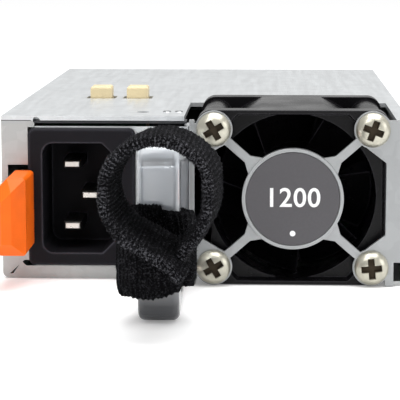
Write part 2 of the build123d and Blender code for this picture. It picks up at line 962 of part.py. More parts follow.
def teardrop(x, z, radius, tail_x, tail_z):
    """A round outline drawn out to a tail."""
    away_x = tail_x - x
    away_z = tail_z - z
    distance = math.hypot(away_x, away_z)
    lean = math.atan2(away_z, away_x)
    spread = math.acos(radius / distance)
    left = (radius * math.cos(lean - spread), radius * math.sin(lean - spread))
    right = (radius * math.cos(lean + spread), radius * math.sin(lean + spread))
    far = (-radius * math.cos(lean), -radius * math.sin(lean))
    crown = ThreePointArc(right, far, left)
    sides = Polyline(left, (away_x, away_z), right)
    return Pos(x, z) * make_face(crown + sides)


def make_strap_loop():
    """The free end of the strap, bent round into a loop before the wrap."""
    outer = teardrop(loop_x, loop_z, loop_radius, loop_tail_x, loop_tail_z)
    eye = teardrop(loop_x + eye_shift, loop_z, eye_radius, loop_tail_x + eye_shift, loop_tail_z + eye_tail)
    wrap_face = handle_front - running_gap - strap_thickness
    back = wrap_face - running_gap
    far = back - loop_setback
    loop = along_y(outer - eye, far - loop_width, far)
    # A short tail that leads back to the wrap
    tail_centre = loop_tail_z + tail_width / 2
    tail = Pos(loop_tail_x, tail_centre) * Rectangle(strap_thickness, tail_width)
    tail &= outer
    return loop + along_y(tail, far - loop_width, back)


# Release latch: sprung arm with a tooth, orange thumb tab, pivot pin and spring
def make_latch_arm():
    left = latch_arm_left
    right = left + latch_arm_thickness
    tooth_at = front + latch_tooth_front
    nose = inlet_face - tab_gap - latch_arm_reach
    tip = -half_width - latch_tooth_proud
    plan = rect(left, right, nose, latch_pivot_y)
    tooth = Polyline(
        (left + seat_gap, tooth_at),
        (tip, tooth_at),
        (tip, tooth_at + latch_tooth_tip),
        (left + seat_gap, tooth_at + latch_tooth_length),
        (left + seat_gap, tooth_at),
    )
    barrel = Pos(latch_pivot_x, latch_pivot_y) * Circle(latch_barrel_radius)
    heel = rect(left, latch_pivot_x, latch_pivot_y - latch_barrel_radius, latch_pivot_y)
    arm = along_z(plan + barrel + heel, latch_arm_low, latch_arm_high)
    shoulder = latch_tooth_shoulder
    arm += along_z(make_face(tooth), latch_arm_low + shoulder, latch_arm_high - shoulder)
    bore = Pos(latch_pivot_x, latch_pivot_y) * Circle(latch_pin_radius + shaft_gap)
    return arm - along_z(bore, latch_arm_low, latch_arm_high)


def make_latch_tab():
    far = inlet_face - tab_gap
    near = far - tab_length
    left = -half_width - tab_proud
    right = inlet_left + tab_overlap
    outline = rect(left, right, tab_low, tab_high)
    outer_top = outline.vertices().group_by(Axis.X)[0].sort_by(Axis.Y)[-1]
    outline = chamfer(outer_top, tab_corner)
    tab = along_y(outline, near, far)
    front_edges = tab.faces().sort_by(Axis.Y)[0].edges()
    tab = chamfer(front_edges, tab_bevel)
    ridge = [e for e in tab.edges().filter_by(Axis.Y) if e.center().X > right - seat_gap]
    tab = fillet(ridge, tab_round)
    pocket = rect(latch_arm_left, latch_arm_left + latch_arm_thickness, latch_arm_low, latch_arm_high)
    return tab - along_y(pocket, far - latch_arm_reach, far + sheet)


def make_latch_pin():
    spot = Pos(latch_pivot_x, latch_pivot_y)
    pin = along_z(spot * Circle(latch_pin_radius), sheet, cover_low - seat_gap)
    return pin + along_z(spot * Circle(latch_barrel_radius), sheet, latch_arm_low - running_gap)


def make_latch_spring():
    """A close-wound coil round the pin, with a leg that bears on the side wall."""
    low = latch_arm_high + running_gap + spring_wire
    coil_radius = latch_pin_radius + seat_gap + spring_wire
    profile = Sketch()
    for step in range(spring_turns):
        profile += Pos(coil_radius, low + step * spring_pitch) * RegularPolygon(spring_wire, 8)
    coil = revolve(Plane.XZ * profile, Axis.Z)
    wall_gap = latch_pivot_inset - sheet - running_gap
    leg_y = latch_pivot_y + latch_pin_radius + spring_wire
    half = spring_wire / 2
    leg = rect(latch_pivot_x - wall_gap, latch_pivot_x, leg_y - half, leg_y + half)
    return Pos(latch_pivot_x, latch_pivot_y) * coil + along_z(leg, low - half, low + half)


# Boards, contacts and the parts that stand on them
def make_board():
    half = half_width - sheet - board_margin
    plan = rect(-half, half, board_start, rear - sheet - seat_gap)
    plan += rect(-card_width / 2, card_width / 2, rear - 2 * sheet, card_end)
    corners = [v for v in plan.vertices() if v.Y > card_end - seat_gap]
    plan = chamfer(corners, card_corner)
    board = along_z(plan, board_low, board_top)
    for x, y in post_places():
        board -= along_z(Pos(x, y) * Circle(post_thread + seat_gap), board_low, board_top)
    return board - pin_notch()


def pin_notch():
    """Room for the latch pin at the left edge of the board and the sheet under it."""
    radius = latch_barrel_radius + 2 * running_gap
    plan = Pos(latch_pivot_x, latch_pivot_y) * Circle(radius)
    plan += rect(-half_width, latch_pivot_x, latch_pivot_y - radius, latch_pivot_y + radius)
    return along_z(plan, 0, board_top + sheet)


def post_places():
    half = half_width - sheet - board_margin - post_inset
    return [(side * half, y) for side in (-1, 1) for y in (board_start + post_front, rear - post_rear)]


def make_contacts():
    pitch = (card_width - 2 * contact_margin) / contact_count
    far = card_end - contact_setback
    pads = []
    for step in range(contact_count):
        x = (step - (contact_count - 1) / 2) * pitch
        plan = rect(x - contact_width / 2, x + contact_width / 2, far - contact_length, far)
        pads.append(along_z(plan, board_top, board_top + contact_thickness))
        pads.append(along_z(plan, board_low - contact_thickness, board_low))
    return Compound(children=pads)


def make_posts():
    posts = []
    for x, y in post_places():
        spot = Pos(x, y)
        post = along_z(spot * RegularPolygon(post_radius, 6), sheet + insulator_thickness, board_low)
        post += along_z(spot * Circle(post_thread), board_low, board_top)
        post += along_z(spot * Circle(post_radius), board_top, board_top + board_thickness)
        posts.append(post)
    return Compound(children=posts)


def make_filter_board():
    back = front + cavity_depth + 2 * inlet_wall
    outline = rect(
        inlet_left + filter_board_shift,
        inlet_right + filter_board_shift,
        sheet + insulator_thickness,
        panel_top - filter_board_drop,
    )
    for _, x, z in pin_places():
        outline -= pin_section(x, z)
    return along_y(outline, back, back + board_thickness)


def make_choke():
    """A toroid choke standing on the main board."""
    near = key_front + key_length + choke_gap
    x = -half_width + choke_side_gap + choke_radius
    body = Circle(choke_radius) - Circle(choke_hole)
    core = along_y(Pos(x, board_top + choke_radius) * body, near, near + choke_length)
    return fillet(core.edges().filter_by(GeomType.CIRCLE), choke_round)


def make_capacitors():
    """Two bulk capacitors lying side by side, each with its crimp groove."""
    profile = Polyline(
        (0, 0),
        (capacitor_radius, 0),
        (capacitor_radius, crimp_setback),
        (capacitor_radius - crimp_depth, crimp_setback + crimp_width / 2),
        (capacitor_radius, crimp_setback + crimp_width),
        (capacitor_radius, capacitor_length),
        (0, capacitor_length),
        (0, 0),
    )
    can = revolve(Plane.XZ * make_face(profile), Axis.Z)
    right_x = half_width - sheet - capacitor_side_gap - capacitor_radius
    left_x = right_x - 2 * capacitor_radius - capacitor_gap
    height = board_top + capacitor_radius
    cans = [Pos(x, capacitor_start, height) * Rot(-90, 0, 0) * can for x in (left_x, right_x)]
    return Compound(children=cans)


def transformer_place():
    """Centre of the transformer, left of the right heat sink."""
    x = sink_lefts()[1] - transformer_gap - transformer_width / 2
    y = converter_start + converter_gap + transformer_length / 2
    return x, y


def centred(x, y, width, length):
    return rect(x - width / 2, x + width / 2, y - length / 2, y + length / 2)


def make_transformer():
    """Core halves round a wound bobbin."""
    x, y = transformer_place()
    top = board_top + transformer_height
    core = along_z(centred(x, y, transformer_width, transformer_length), board_top, top)
    opening = transformer_length - 2 * transformer_leg
    window = rect(y - opening / 2, y + opening / 2, board_top + transformer_yoke, top - transformer_yoke)
    core -= along_x(window, x - transformer_width, x + transformer_width)
    middle = centred(x, y, middle_leg_width, middle_leg_length)
    core += along_z(middle, board_top + transformer_yoke - sheet, top - transformer_yoke + sheet)
    return core


def make_winding():
    """Copper winding round the middle leg of the core."""
    x, y = transformer_place()
    low = board_top + transformer_yoke + winding_margin
    high = board_top + transformer_height - transformer_yoke - winding_margin
    outer = centred(x, y, middle_leg_width + 2 * winding_thickness, middle_leg_length + 2 * winding_end)
    outer = fillet(outer.vertices(), winding_round)
    inner = centred(x, y, middle_leg_width + 2 * seat_gap, middle_leg_length + 2 * seat_gap)
    return along_z(outer - inner, low, high)


def sink_lefts():
    width = (fin_count - 1) * fin_pitch + fin_thickness
    return [-half_width + sink_side_gap, half_width - sink_side_gap - width]


def make_heat_sinks():
    """Extruded comb profiles, fins upward."""
    width = (fin_count - 1) * fin_pitch + fin_thickness
    sinks = []
    for left in sink_lefts():
        comb = rect(left, left + width, board_top, board_top + sink_base)
        for step in range(fin_count):
            x = left + step * fin_pitch
            comb += rect(x, x + fin_thickness, board_top, board_top + sink_height)
        sinks.append(along_y(comb, sink_start, sink_end))
    return Compound(children=sinks)


def make_output_capacitors():
    row_y = sink_end + output_can_gap + output_can_radius
    cans = []
    for step in range(output_can_count):
        spot = Pos((step - (output_can_count - 1) / 2) * output_can_pitch, row_y)
        can = along_z(spot * Circle(output_can_radius), board_top, board_top + output_can_height)
        cans.append(chamfer(can.edges().group_by(Axis.Z)[-1], output_can_edge))
    return Compound(children=cans)


def make_keys():
    """Nylon blocks on the main board that come up through the lid's slots."""
    keys = []
    for x in key_places():
        plan = rect(x - key_width / 2, x + key_width / 2, key_front, key_front + key_length)
        key = along_z(plan, board_top, case_height + key_proud)
        keys.append(fillet(key.edges().group_by(Axis.Z)[-1], key_round))
    return Compound(children=keys)


def make_insulator():
    half = half_width - sheet - insulator_side_gap
    plan = rect(-half, half, fan_rear + insulator_gap, rear - 2 * sheet)
    return along_z(plan, sheet, sheet + insulator_thickness) - pin_notch()


# Rear panel with a card slot and staggered six-sided vents
def make_rear_panel():
    half = half_width - sheet - seat_gap
    outline = rect(-half, half, sheet, rear_low - sheet)
    outline = chamfer(outline.vertices().group_by(Axis.Y)[0], bend - sheet + seat_gap)
    slot_half = card_width / 2 + card_gap
    outline -= rect(-slot_half, slot_half, board_low - card_gap, board_top + card_gap)
    rise = vent_pitch * math.sqrt(3) / 2
    for row in range(vent_rows):
        shift = (row % 2) * vent_pitch / 2 - vent_pitch / 4
        for column in range(vent_columns):
            x = (column - (vent_columns - 1) / 2) * vent_pitch + shift
            z = board_top + vent_start + row * rise
            outline -= Pos(x, z) * RegularPolygon(vent_size / 2, 6, rotation=30)
    panel = along_y(outline, rear - sheet, rear)
    fold = rect(rear - panel_fold, rear, sheet + bend, rear_low - sheet - panel_fold_gap)
    for side in (-1, 1):
        edge = sorted((side * (half - sheet), side * half))
        panel += along_x(fold, *edge)
    return panel


# Everything together
parts["bottom_tray"] = trim_tray_for_step(make_tray())
parts["top_cover"] = make_cover()
parts["inlet_panel"] = make_inlet_panel()
parts["fan_guard"] = make_guard()
parts["guard_disc"] = make_disc()
parts["fan_frame"] = make_fan_frame()
parts["fan_rotor"] = make_rotor()
make_motor()
parts["fan_screws"] = make_fan_screws()
parts["inlet_housing"] = make_inlet()
for pin_name, pin_x, pin_z in pin_places():
    parts[pin_name] = make_pin(pin_x, pin_z)
parts["handle"] = make_handle()
parts["handle_screws"] = make_handle_screws()
parts["status_lamp"] = make_lamp()
parts["strap_wrap"] = make_strap_wrap()
parts["strap_loop"] = make_strap_loop()
parts["latch_arm"] = make_latch_arm()
parts["latch_tab"] = make_latch_tab()
parts["latch_pin"] = make_latch_pin()
parts["latch_spring"] = make_latch_spring()
parts["main_board"] = make_board()
parts["edge_contacts"] = make_contacts()
parts["board_posts"] = make_posts()
parts["filter_board"] = make_filter_board()
parts["filter_choke"] = make_choke()
parts["bulk_capacitors"] = make_capacitors()
parts["transformer_core"] = make_transformer()
parts["transformer_winding"] = make_winding()
parts["heat_sinks"] = make_heat_sinks()
parts["output_capacitors"] = make_output_capacitors()
parts["nylon_keys"] = make_keys()
parts["insulator_sheet"] = make_insulator()
parts["rear_panel"] = make_rear_panel()
parts["cover_screws"] = Compound(children=[cover_screw_body(side, y, 0) for side, y in cover_screw_places()])

os.makedirs("parts", exist_ok=True)
for name, shape in parts.items():
    export_step(shape, "parts/" + name + ".step")
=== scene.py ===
import json
import math
import random

import bmesh
import bpy
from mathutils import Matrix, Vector, noise


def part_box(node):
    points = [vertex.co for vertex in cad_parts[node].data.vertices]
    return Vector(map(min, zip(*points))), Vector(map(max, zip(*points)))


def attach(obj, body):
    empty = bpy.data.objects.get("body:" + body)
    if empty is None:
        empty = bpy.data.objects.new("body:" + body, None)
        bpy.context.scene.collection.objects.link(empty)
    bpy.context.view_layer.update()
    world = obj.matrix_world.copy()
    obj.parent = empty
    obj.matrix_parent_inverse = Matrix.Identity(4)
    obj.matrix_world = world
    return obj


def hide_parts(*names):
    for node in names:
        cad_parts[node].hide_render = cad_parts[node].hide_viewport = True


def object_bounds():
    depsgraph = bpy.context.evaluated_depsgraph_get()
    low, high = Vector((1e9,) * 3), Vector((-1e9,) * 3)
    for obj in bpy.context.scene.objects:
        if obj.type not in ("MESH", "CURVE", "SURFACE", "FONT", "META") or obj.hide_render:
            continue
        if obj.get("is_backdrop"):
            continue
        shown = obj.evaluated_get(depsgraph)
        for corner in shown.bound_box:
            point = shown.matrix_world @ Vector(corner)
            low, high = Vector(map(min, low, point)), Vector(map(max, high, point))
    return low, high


bl_info = {
    "name": "Hot swap power supply",
    "version": (1, 0, 0),
    "blender": (4, 5, 0),
    "location": "View3D > Sidebar > Power supply",
    "description": "Dresses the packed power supply with finishes, a strap, marks, a stage and a camera",
    "category": "Object",
}

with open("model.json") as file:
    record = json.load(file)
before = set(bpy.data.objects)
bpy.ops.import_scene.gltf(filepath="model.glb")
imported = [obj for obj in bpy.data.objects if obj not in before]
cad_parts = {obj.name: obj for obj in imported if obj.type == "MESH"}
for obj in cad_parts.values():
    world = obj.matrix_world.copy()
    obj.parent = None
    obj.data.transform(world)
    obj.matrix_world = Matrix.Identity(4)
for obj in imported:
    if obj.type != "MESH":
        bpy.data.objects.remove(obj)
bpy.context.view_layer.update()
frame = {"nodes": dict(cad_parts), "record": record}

MM = 0.001
SLOT_OF = {row["node"]: row["material_slot"] for row in frame["record"]["subparts"]}

# Camera of the photograph: metres and degrees, its lens and sensor in millimetres
CAMERA_PLACE = (0.01445, -0.49585, 0.07682)
CAMERA_PITCH = -8.362
CAMERA_YAW = 2.178
CAMERA_LENS = 164.19
CAMERA_SENSOR = 36.0

# Soft boxes as name, place, side and power, the point that they face, and the light of the surroundings
LAMPS = (
    ("top_box", (0.10, -0.10, 0.95), 0.9, 10.8),
    ("front_box", (-0.45, -0.85, 1.0), 0.6, 3.9),
    ("side_box", (0.85, -0.45, 0.35), 0.5, 1.6),
)
LAMP_TARGET = (0.0, -0.08, 0.02)
SURROUND_LIGHT = 0.60

# Gap under the lowest piece, and the floor's glow near and far with the distances of both
FLOOR_GAP = 0.1 * MM
GLOW_NEAR = 0.22
GLOW_FAR = 0.42
GLOW_START = 0.7
GLOW_END = 2.2

FINISH_PREFIX = "finish_"

# Cosine between the true and the rounded surface, where edges get their full painted highlight and on the
# flat
HIGHLIGHT_COSINE = 0.90
FLAT_COSINE = 0.995

# How far under the cover's highest point the pressed dimples get painted shade, and how dark
DIMPLE_RISE = 0.3 * MM
DIMPLE_SHADE = 0.42

# Radius of a fan screw's head, and the shares of its height that the dome loses and of its radius that the
# recess reaches
SCREW_HEAD = 3.72 * MM
DOME_FALL = 0.62
RECESS_REACH = 0.80

# Wave scale for rows a millimetre apart, and where the painted rim light begins and ends, in millimetres from
# the strap's middle
ROW_SCALE = 0.31
RIM_LIGHT_START = 6.8
RIM_LIGHT_END = 8.6

# Quads across the strap, steps along it to each rib, and the loop's breadth over that of its plain solid
ACROSS = 16
STEPS_PER_RIB = 4
LOOP_BAND = 0.98

# Points round one section of the strap, as the face they lie on and their place across, from -1 to 1
SECTION = [(side, side * (1 - 2 * count / ACROSS)) for side in (1, -1) for count in range(ACROSS + 1)]

# Degrees that the loop's breadth leans to the right as it goes back
LOOP_LEAN = 5

# Pile in millimetres: pitch and height of the fine and the coarse bumps, and the ribs on faces and edges
FINE_PITCH = 0.9
FINE_PILE = 0.22
COARSE_PITCH = 4.5
COARSE_PILE = 0.25
FACE_RIB = 0.07
EDGE_RIB = 0.14

# Share of its thickness that the strap loses at its edges, and how sharply
EDGE_THINNING = 0.5
EDGE_POWER = 6

# Fibres: seed, depth of the root and radius in millimetres, lean, and the shortest as a share of the longest
FIBRE_SEED = 7
FIBRE_ROOT = 0.1
FIBRE_RADIUS = 0.05
FIBRE_LEAN = 0.55
FIBRE_SHORTEST = 0.35

# Thickness of a printed mark, and how far the number and the dot lie under the disc's middle
PRINT_DEPTH = 0.04 * MM
NUMBER_DROP = -0.1 * MM
DOT_DROP = 7.6 * MM

# Digits: their height as a share of the font's size, the gain of their strokes and the space they take
DIGIT_SHARE = 0.7
STROKE_GAIN = 0.018
DIGIT_SPACE = 1.05


class SupplySizes(bpy.types.PropertyGroup):
    strap_thickness: bpy.props.FloatProperty(
        name="Strap thickness", description="Thickness of the hook-and-loop strap with its pile",
        default=2.6 * MM, min=0.5 * MM, unit="LENGTH", precision=5)
    rib_pitch: bpy.props.FloatProperty(
        name="Edge rib pitch", description="Distance between the woven ribs on the strap's edges",
        default=0.8 * MM, min=0.3 * MM, unit="LENGTH", precision=5)
    fibre_length: bpy.props.FloatProperty(
        name="Fibre length", description="Longest loose fibre of the strap's pile",
        default=0.75 * MM, min=0.1 * MM, unit="LENGTH", precision=5)
    fibre_count: bpy.props.IntProperty(
        name="Fibres", description="Loose fibres that stand out of the strap", default=9000, min=0)
    digit_height: bpy.props.FloatProperty(
        name="Digit height", description="Height of the plain number on the guard's disc",
        default=4.1 * MM, min=1 * MM, unit="LENGTH", precision=5)
    dot_diameter: bpy.props.FloatProperty(
        name="Dot diameter", description="Diameter of the white dot on the guard's disc",
        default=1.25 * MM, min=0.2 * MM, unit="LENGTH", precision=5)
    floor_size: bpy.props.FloatProperty(
        name="Floor size", description="Side of the square floor", default=8.0, min=1.0, unit="LENGTH")


def colour_setting(name, description, default):
    return bpy.props.FloatVectorProperty(
        name=name, description=description, default=default, subtype="COLOR", size=3, min=0.0, max=1.0)


class SupplyColours(bpy.types.PropertyGroup):
    zinc: colour_setting("Zinc sheet", "Plated steel of the cover and panels", (0.68, 0.70, 0.71))
    # A darker copy of the zinc, as painted shade on the tray
    zinc_in_shade: colour_setting("Zinc tray", "Duller plating of the tray", (0.46, 0.47, 0.465))
    guard: colour_setting("Guard steel", "Plated steel of the fan guard", (0.365, 0.375, 0.38))
    disc: colour_setting("Disc", "Painted disc in the middle of the fan guard", (0.080, 0.076, 0.083))
    fan: colour_setting("Fan plastic", "Moulded plastic of the fan frame and rotor", (0.0045, 0.0042, 0.005))
    inlet: colour_setting("Inlet plastic", "Moulded plastic of the mains inlet", (0.0125, 0.012, 0.0145))
    screw: colour_setting("Screw nickel", "Warm nickel plating of the screws", (0.54, 0.52, 0.435))
    # Painted shade in the screws' cross recesses
    recess: colour_setting("Screw recess", "Dark film in the screws' cross recesses", (0.100, 0.078, 0.055))
    # The handle's pale colour is painted light where it is high up, its dark one painted shade low down
    handle: colour_setting("Handle", "Clear plastic of the handle where it is lit", (0.78, 0.82, 0.87))
    handle_shade: colour_setting("Handle shade", "The same plastic where it is deep", (0.070, 0.073, 0.080))
    latch: colour_setting("Latch", "Orange plastic of the thumb tab", (0.91, 0.138, 0.004))
    strap: colour_setting("Strap", "Black pile of the hook-and-loop strap", (0.003, 0.003, 0.0036))
    strap_light: colour_setting("Strap fibres", "Grey tips of the strap's fibres", (0.104, 0.104, 0.116))
    nylon: colour_setting("Nylon", "Natural nylon of the two blocks", (0.70, 0.58, 0.35))
    marks: colour_setting("Marks", "White paint of the number and the dot", (0.90, 0.90, 0.90))
    floor: colour_setting("Floor", "Plain pale floor", (0.93, 0.93, 0.93))


def sizes():
    return bpy.context.scene.supply_sizes


def colours():
    return bpy.context.scene.supply_colours


# Small node builders that every finish uses
def start_material(name, colour, roughness, metallic=0.0):
    """A new material's node tree and its shader."""
    material = bpy.data.materials.new(FINISH_PREFIX + name)
    material.use_nodes = True
    shader = material.node_tree.nodes["Principled BSDF"]
    shader.inputs["Base Color"].default_value = (*colour, 1.0)
    shader.inputs["Roughness"].default_value = roughness
    shader.inputs["Metallic"].default_value = metallic
    return material.node_tree, shader


def surface_place(tree, stretch=(1.0, 1.0, 1.0)):
    """Coordinates fixed to the piece, in metres, stretched along its axes."""
    coordinates = tree.nodes.new("ShaderNodeTexCoord")
    mapping = tree.nodes.new("ShaderNodeMapping")
    mapping.inputs["Scale"].default_value = stretch
    tree.links.new(coordinates.outputs["Object"], mapping.inputs["Vector"])
    return mapping.outputs["Vector"]


def axes(tree):
    """X, Y and Z of the coordinates fixed to the piece, as outputs."""
    split = tree.nodes.new("ShaderNodeSeparateXYZ")
    tree.links.new(surface_place(tree), split.inputs[0])
    return split.outputs


def grain(tree, size, detail=4.0, stretch=(1.0, 1.0, 1.0)):
    """Soft noise whose features are about the given size."""
    node = tree.nodes.new("ShaderNodeTexNoise")
    node.inputs["Scale"].default_value = 1.0 / size
    node.inputs["Detail"].default_value = detail
    tree.links.new(surface_place(tree, stretch), node.inputs["Vector"])
    return node.outputs["Fac"]


def cells(tree, size):
    """Crystal-like cells, each with its own grey level."""
    node = tree.nodes.new("ShaderNodeTexVoronoi")
    node.inputs["Scale"].default_value = 1.0 / size
    tree.links.new(surface_place(tree), node.inputs["Vector"])
    grey = tree.nodes.new("ShaderNodeRGBToBW")
    tree.links.new(node.outputs["Color"], grey.inputs["Color"])
    return grey.outputs["Val"]


def edges(tree, reach=0.22 * MM):
    """Near 1 within reach of a sharp turn of the surface and 0 on the flats: the mask for painted highlights
    along edges.
    """
    rounded = tree.nodes.new("ShaderNodeBevel")
    rounded.samples = 4
    rounded.inputs["Radius"].default_value = reach
    geometry = tree.nodes.new("ShaderNodeNewGeometry")
    turn = tree.nodes.new("ShaderNodeVectorMath")
    turn.operation = "DOT_PRODUCT"
    tree.links.new(rounded.outputs["Normal"], turn.inputs[0])
    tree.links.new(geometry.outputs["Normal"], turn.inputs[1])
    return spread(tree, turn.outputs["Value"], 1.0, 0.0, HIGHLIGHT_COSINE, FLAT_COSINE)


def spread(tree, value, low, high, start=0.3, end=0.7):
    """Map start to end of the value onto low to high."""
    node = tree.nodes.new("ShaderNodeMapRange")
    node.inputs["From Min"].default_value = start
    node.inputs["From Max"].default_value = end
    node.inputs["To Min"].default_value = low
    node.inputs["To Max"].default_value = high
    tree.links.new(value, node.inputs["Value"])
    return node.outputs["Result"]


def arithmetic(tree, operation, first, second=None):
    """A math node whose inputs are sockets or numbers."""
    node = tree.nodes.new("ShaderNodeMath")
    node.operation = operation
    for value, socket in zip((first, second), node.inputs):
        if isinstance(value, bpy.types.NodeSocket):
            tree.links.new(value, socket)
        elif value is not None:
            socket.default_value = value
    return node.outputs[0]


def mix_colours(tree, factor, first, second):
    """Either end is a colour or the socket of another mix."""
    node = tree.nodes.new("ShaderNodeMix")
    node.data_type = "RGBA"
    tree.links.new(factor, node.inputs["Factor"])
    for end, socket in ((first, node.inputs[6]), (second, node.inputs[7])):
        if isinstance(end, bpy.types.NodeSocket):
            tree.links.new(end, socket)
        else:
            socket.default_value = (*end, 1.0)
    return node.outputs[2]


def dent(tree, shader, height, depth, strength=1.0):
    """Raise and lower the surface by the height, as far as the depth."""
    node = tree.nodes.new("ShaderNodeBump")
    node.inputs["Distance"].default_value = depth
    node.inputs["Strength"].default_value = strength
    tree.links.new(height, node.inputs["Height"])
    tree.links.new(node.outputs["Normal"], shader.inputs["Normal"])


def shade(colour, factor):
    """The colour made lighter or darker."""
    return tuple(min(1.0, max(0.0, channel * factor)) for channel in colour)


# Finishes
def plated_steel(name, colour, roughness=0.36, spangle=2.6 * MM, shade_above=1.0):
    """Zinc or nickel plating: faint crystals, rolling lines, painted highlights along its edges and painted
    shade on pressed dimples.
    """
    tree, shader = start_material(name, colour, roughness, metallic=0.7)
    crystals = spread(tree, cells(tree, spangle), 0.0, 1.0, 0.2, 0.8)
    base = mix_colours(tree, crystals, shade(colour, 0.955), shade(colour, 1.03))
    # Edges get a painted highlight: a lighter copy of the colour
    with_edge_highlights = mix_colours(tree, edges(tree), base, shade(colour, 1.2))
    # Painted shade on the pressed dimples, darker than the sheet they stand out of, to hold down their
    # highlight
    raised = spread(tree, axes(tree)["Z"], 0.0, 1.0, shade_above + 0.03 * MM, shade_above + 0.12 * MM)
    plated = mix_colours(tree, raised, with_edge_highlights, shade(colour, DIMPLE_SHADE))
    tree.links.new(plated, shader.inputs["Base Color"])
    rolling = grain(tree, 1.2 * MM, 5.0, (1.0, 0.06, 1.0))
    tree.links.new(spread(tree, rolling, roughness - 0.05, roughness + 0.08), shader.inputs["Roughness"])
    dent(tree, shader, rolling, 0.02 * MM, 0.5)


def moulded(name, colour, roughness=0.5, edge_highlight=1.7, shine=0.5, reach=0.22 * MM):
    """Moulded plastic with a fine spark-eroded texture and painted highlights along its edges."""
    tree, shader = start_material(name, colour, roughness)
    patches = grain(tree, 9 * MM, 3.0)
    base = mix_colours(tree, spread(tree, patches, 0.0, 1.0), shade(colour, 0.9), shade(colour, 1.1))
    # Edges get a painted highlight: the colour made lighter by the given gain
    with_edge_highlights = mix_colours(tree, edges(tree, reach), base, shade(colour, edge_highlight))
    tree.links.new(with_edge_highlights, shader.inputs["Base Color"])
    tree.links.new(spread(tree, patches, roughness - 0.06, roughness + 0.06), shader.inputs["Roughness"])
    shader.inputs["Specular IOR Level"].default_value = shine
    dent(tree, shader, grain(tree, 0.28 * MM, 2.0), 0.02 * MM, 0.6)


def blade_steel(name, colour):
    """Steel with fine scratches at the tip, and painted shade of the dark cavity further in."""
    tree, shader = start_material(name, colour, 0.3, metallic=0.6)
    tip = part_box("line_pin")[0].y
    scratches = grain(tree, 0.7 * MM, 4.0)
    bright = mix_colours(tree, spread(tree, scratches, 0.0, 1.0), shade(colour, 0.9), shade(colour, 1.08))
    # Painted shade of the cavity: nearly black a fraction of a millimetre behind the tip
    cavity_shade = spread(tree, axes(tree)["Y"], 0.0, 1.0, tip + 0.02 * MM, tip + 0.2 * MM)
    tree.links.new(mix_colours(tree, cavity_shade, bright, shade(colour, 0.02)), shader.inputs["Base Color"])
    tree.links.new(spread(tree, scratches, 0.25, 0.4), shader.inputs["Roughness"])
    dent(tree, shader, scratches, 0.01 * MM, 0.3)


def painted(name, colour, roughness=0.55):
    """Thin screen-printed paint with a slight orange-peel surface."""
    tree, shader = start_material(name, colour, roughness)
    peel = grain(tree, 0.6 * MM, 3.0)
    base = mix_colours(tree, spread(tree, peel, 0.0, 1.0), shade(colour, 0.94), shade(colour, 1.05))
    tree.links.new(base, shader.inputs["Base Color"])
    tree.links.new(spread(tree, peel, roughness - 0.05, roughness + 0.05), shader.inputs["Roughness"])
    dent(tree, shader, peel, 0.01 * MM, 0.5)


def recess_depth(tree):
    """How far a point of the screws lies under its head's dome, from the screws' own places."""
    low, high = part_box("fan_screws")
    head_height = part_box("fan_guard")[0].y - low.y
    reach_x = (high.x - low.x) / 2 - SCREW_HEAD
    reach_z = (high.z - low.z) / 2 - SCREW_HEAD
    x, y, z = axes(tree)
    off_x = arithmetic(tree, "SUBTRACT", x, (low.x + high.x) / 2)
    off_z = arithmetic(tree, "SUBTRACT", z, (low.z + high.z) / 2)
    from_x = arithmetic(tree, "SUBTRACT", arithmetic(tree, "ABSOLUTE", off_x), reach_x)
    from_z = arithmetic(tree, "SUBTRACT", arithmetic(tree, "ABSOLUTE", off_z), reach_z)
    square_x = arithmetic(tree, "MULTIPLY", from_x, from_x)
    square_z = arithmetic(tree, "MULTIPLY", from_z, from_z)
    square = arithmetic(tree, "ADD", square_x, square_z)
    # The dome falls away with the square of the distance from its axis
    fall = arithmetic(tree, "MULTIPLY", square, head_height / SCREW_HEAD**2 * DOME_FALL)
    depth = arithmetic(tree, "SUBTRACT", y, low.y)
    inside = arithmetic(tree, "LESS_THAN", square, (RECESS_REACH * SCREW_HEAD) ** 2)
    return arithmetic(tree, "MULTIPLY", arithmetic(tree, "SUBTRACT", depth, fall), inside)


def screw_plating(name, colour, recess):
    """Warm nickel on the heads, with painted shade in their cross recesses."""
    tree, shader = start_material(name, colour, 0.3, metallic=0.75)
    stains = grain(tree, 1.6 * MM, 4.0)
    base = mix_colours(tree, spread(tree, stains, 0.0, 1.0), shade(colour, 0.84), shade(colour, 1.08))
    # Painted shade: darker as the point lies deeper in the cross recesses
    recess_shade_mask = spread(tree, recess_depth(tree), 0.0, 1.0, 0.15 * MM, 0.4 * MM)
    tree.links.new(mix_colours(tree, recess_shade_mask, base, recess), shader.inputs["Base Color"])
    tree.links.new(spread(tree, recess_shade_mask, 0.3, 0.8, 0.0, 1.0), shader.inputs["Roughness"])
    dent(tree, shader, stains, 0.02 * MM, 0.3)


def smoke_plastic(name, dark, pale):
    """Tinted clear plastic: painted shade low down and painted light higher up, with pale painted reflections
    in long vertical stripes where it is lit.
    """
    tree, shader = start_material(name, pale, 0.12)
    # Painted light and shade by height: dark below, pale above
    depth = spread(tree, axes(tree)["Z"], 0.0, 1.0, 4 * MM, 23 * MM)
    flow = grain(tree, 9 * MM, 2.0, (1.0, 1.0, 0.35))
    painted_light_ramp = mix_colours(tree, depth, dark, pale)
    # Painted reflections: faint pale vertical stripes, only where the painted light reaches
    faint = arithmetic(tree, "MULTIPLY", spread(tree, flow, 0.0, 0.35), depth)
    reflection_streaks = mix_colours(tree, faint, painted_light_ramp, shade(pale, 1.3))
    tree.links.new(reflection_streaks, shader.inputs["Base Color"])
    tree.links.new(spread(tree, flow, 0.08, 0.16), shader.inputs["Roughness"])
    tree.links.new(spread(tree, depth, 0.25, 0.5, 0.0, 1.0), shader.inputs["Transmission Weight"])
    shader.inputs["IOR"].default_value = 1.5
    shader.inputs["Coat Weight"].default_value = 0.6
    shader.inputs["Coat Roughness"].default_value = 0.05
    dent(tree, shader, flow, 0.05 * MM, 0.3)


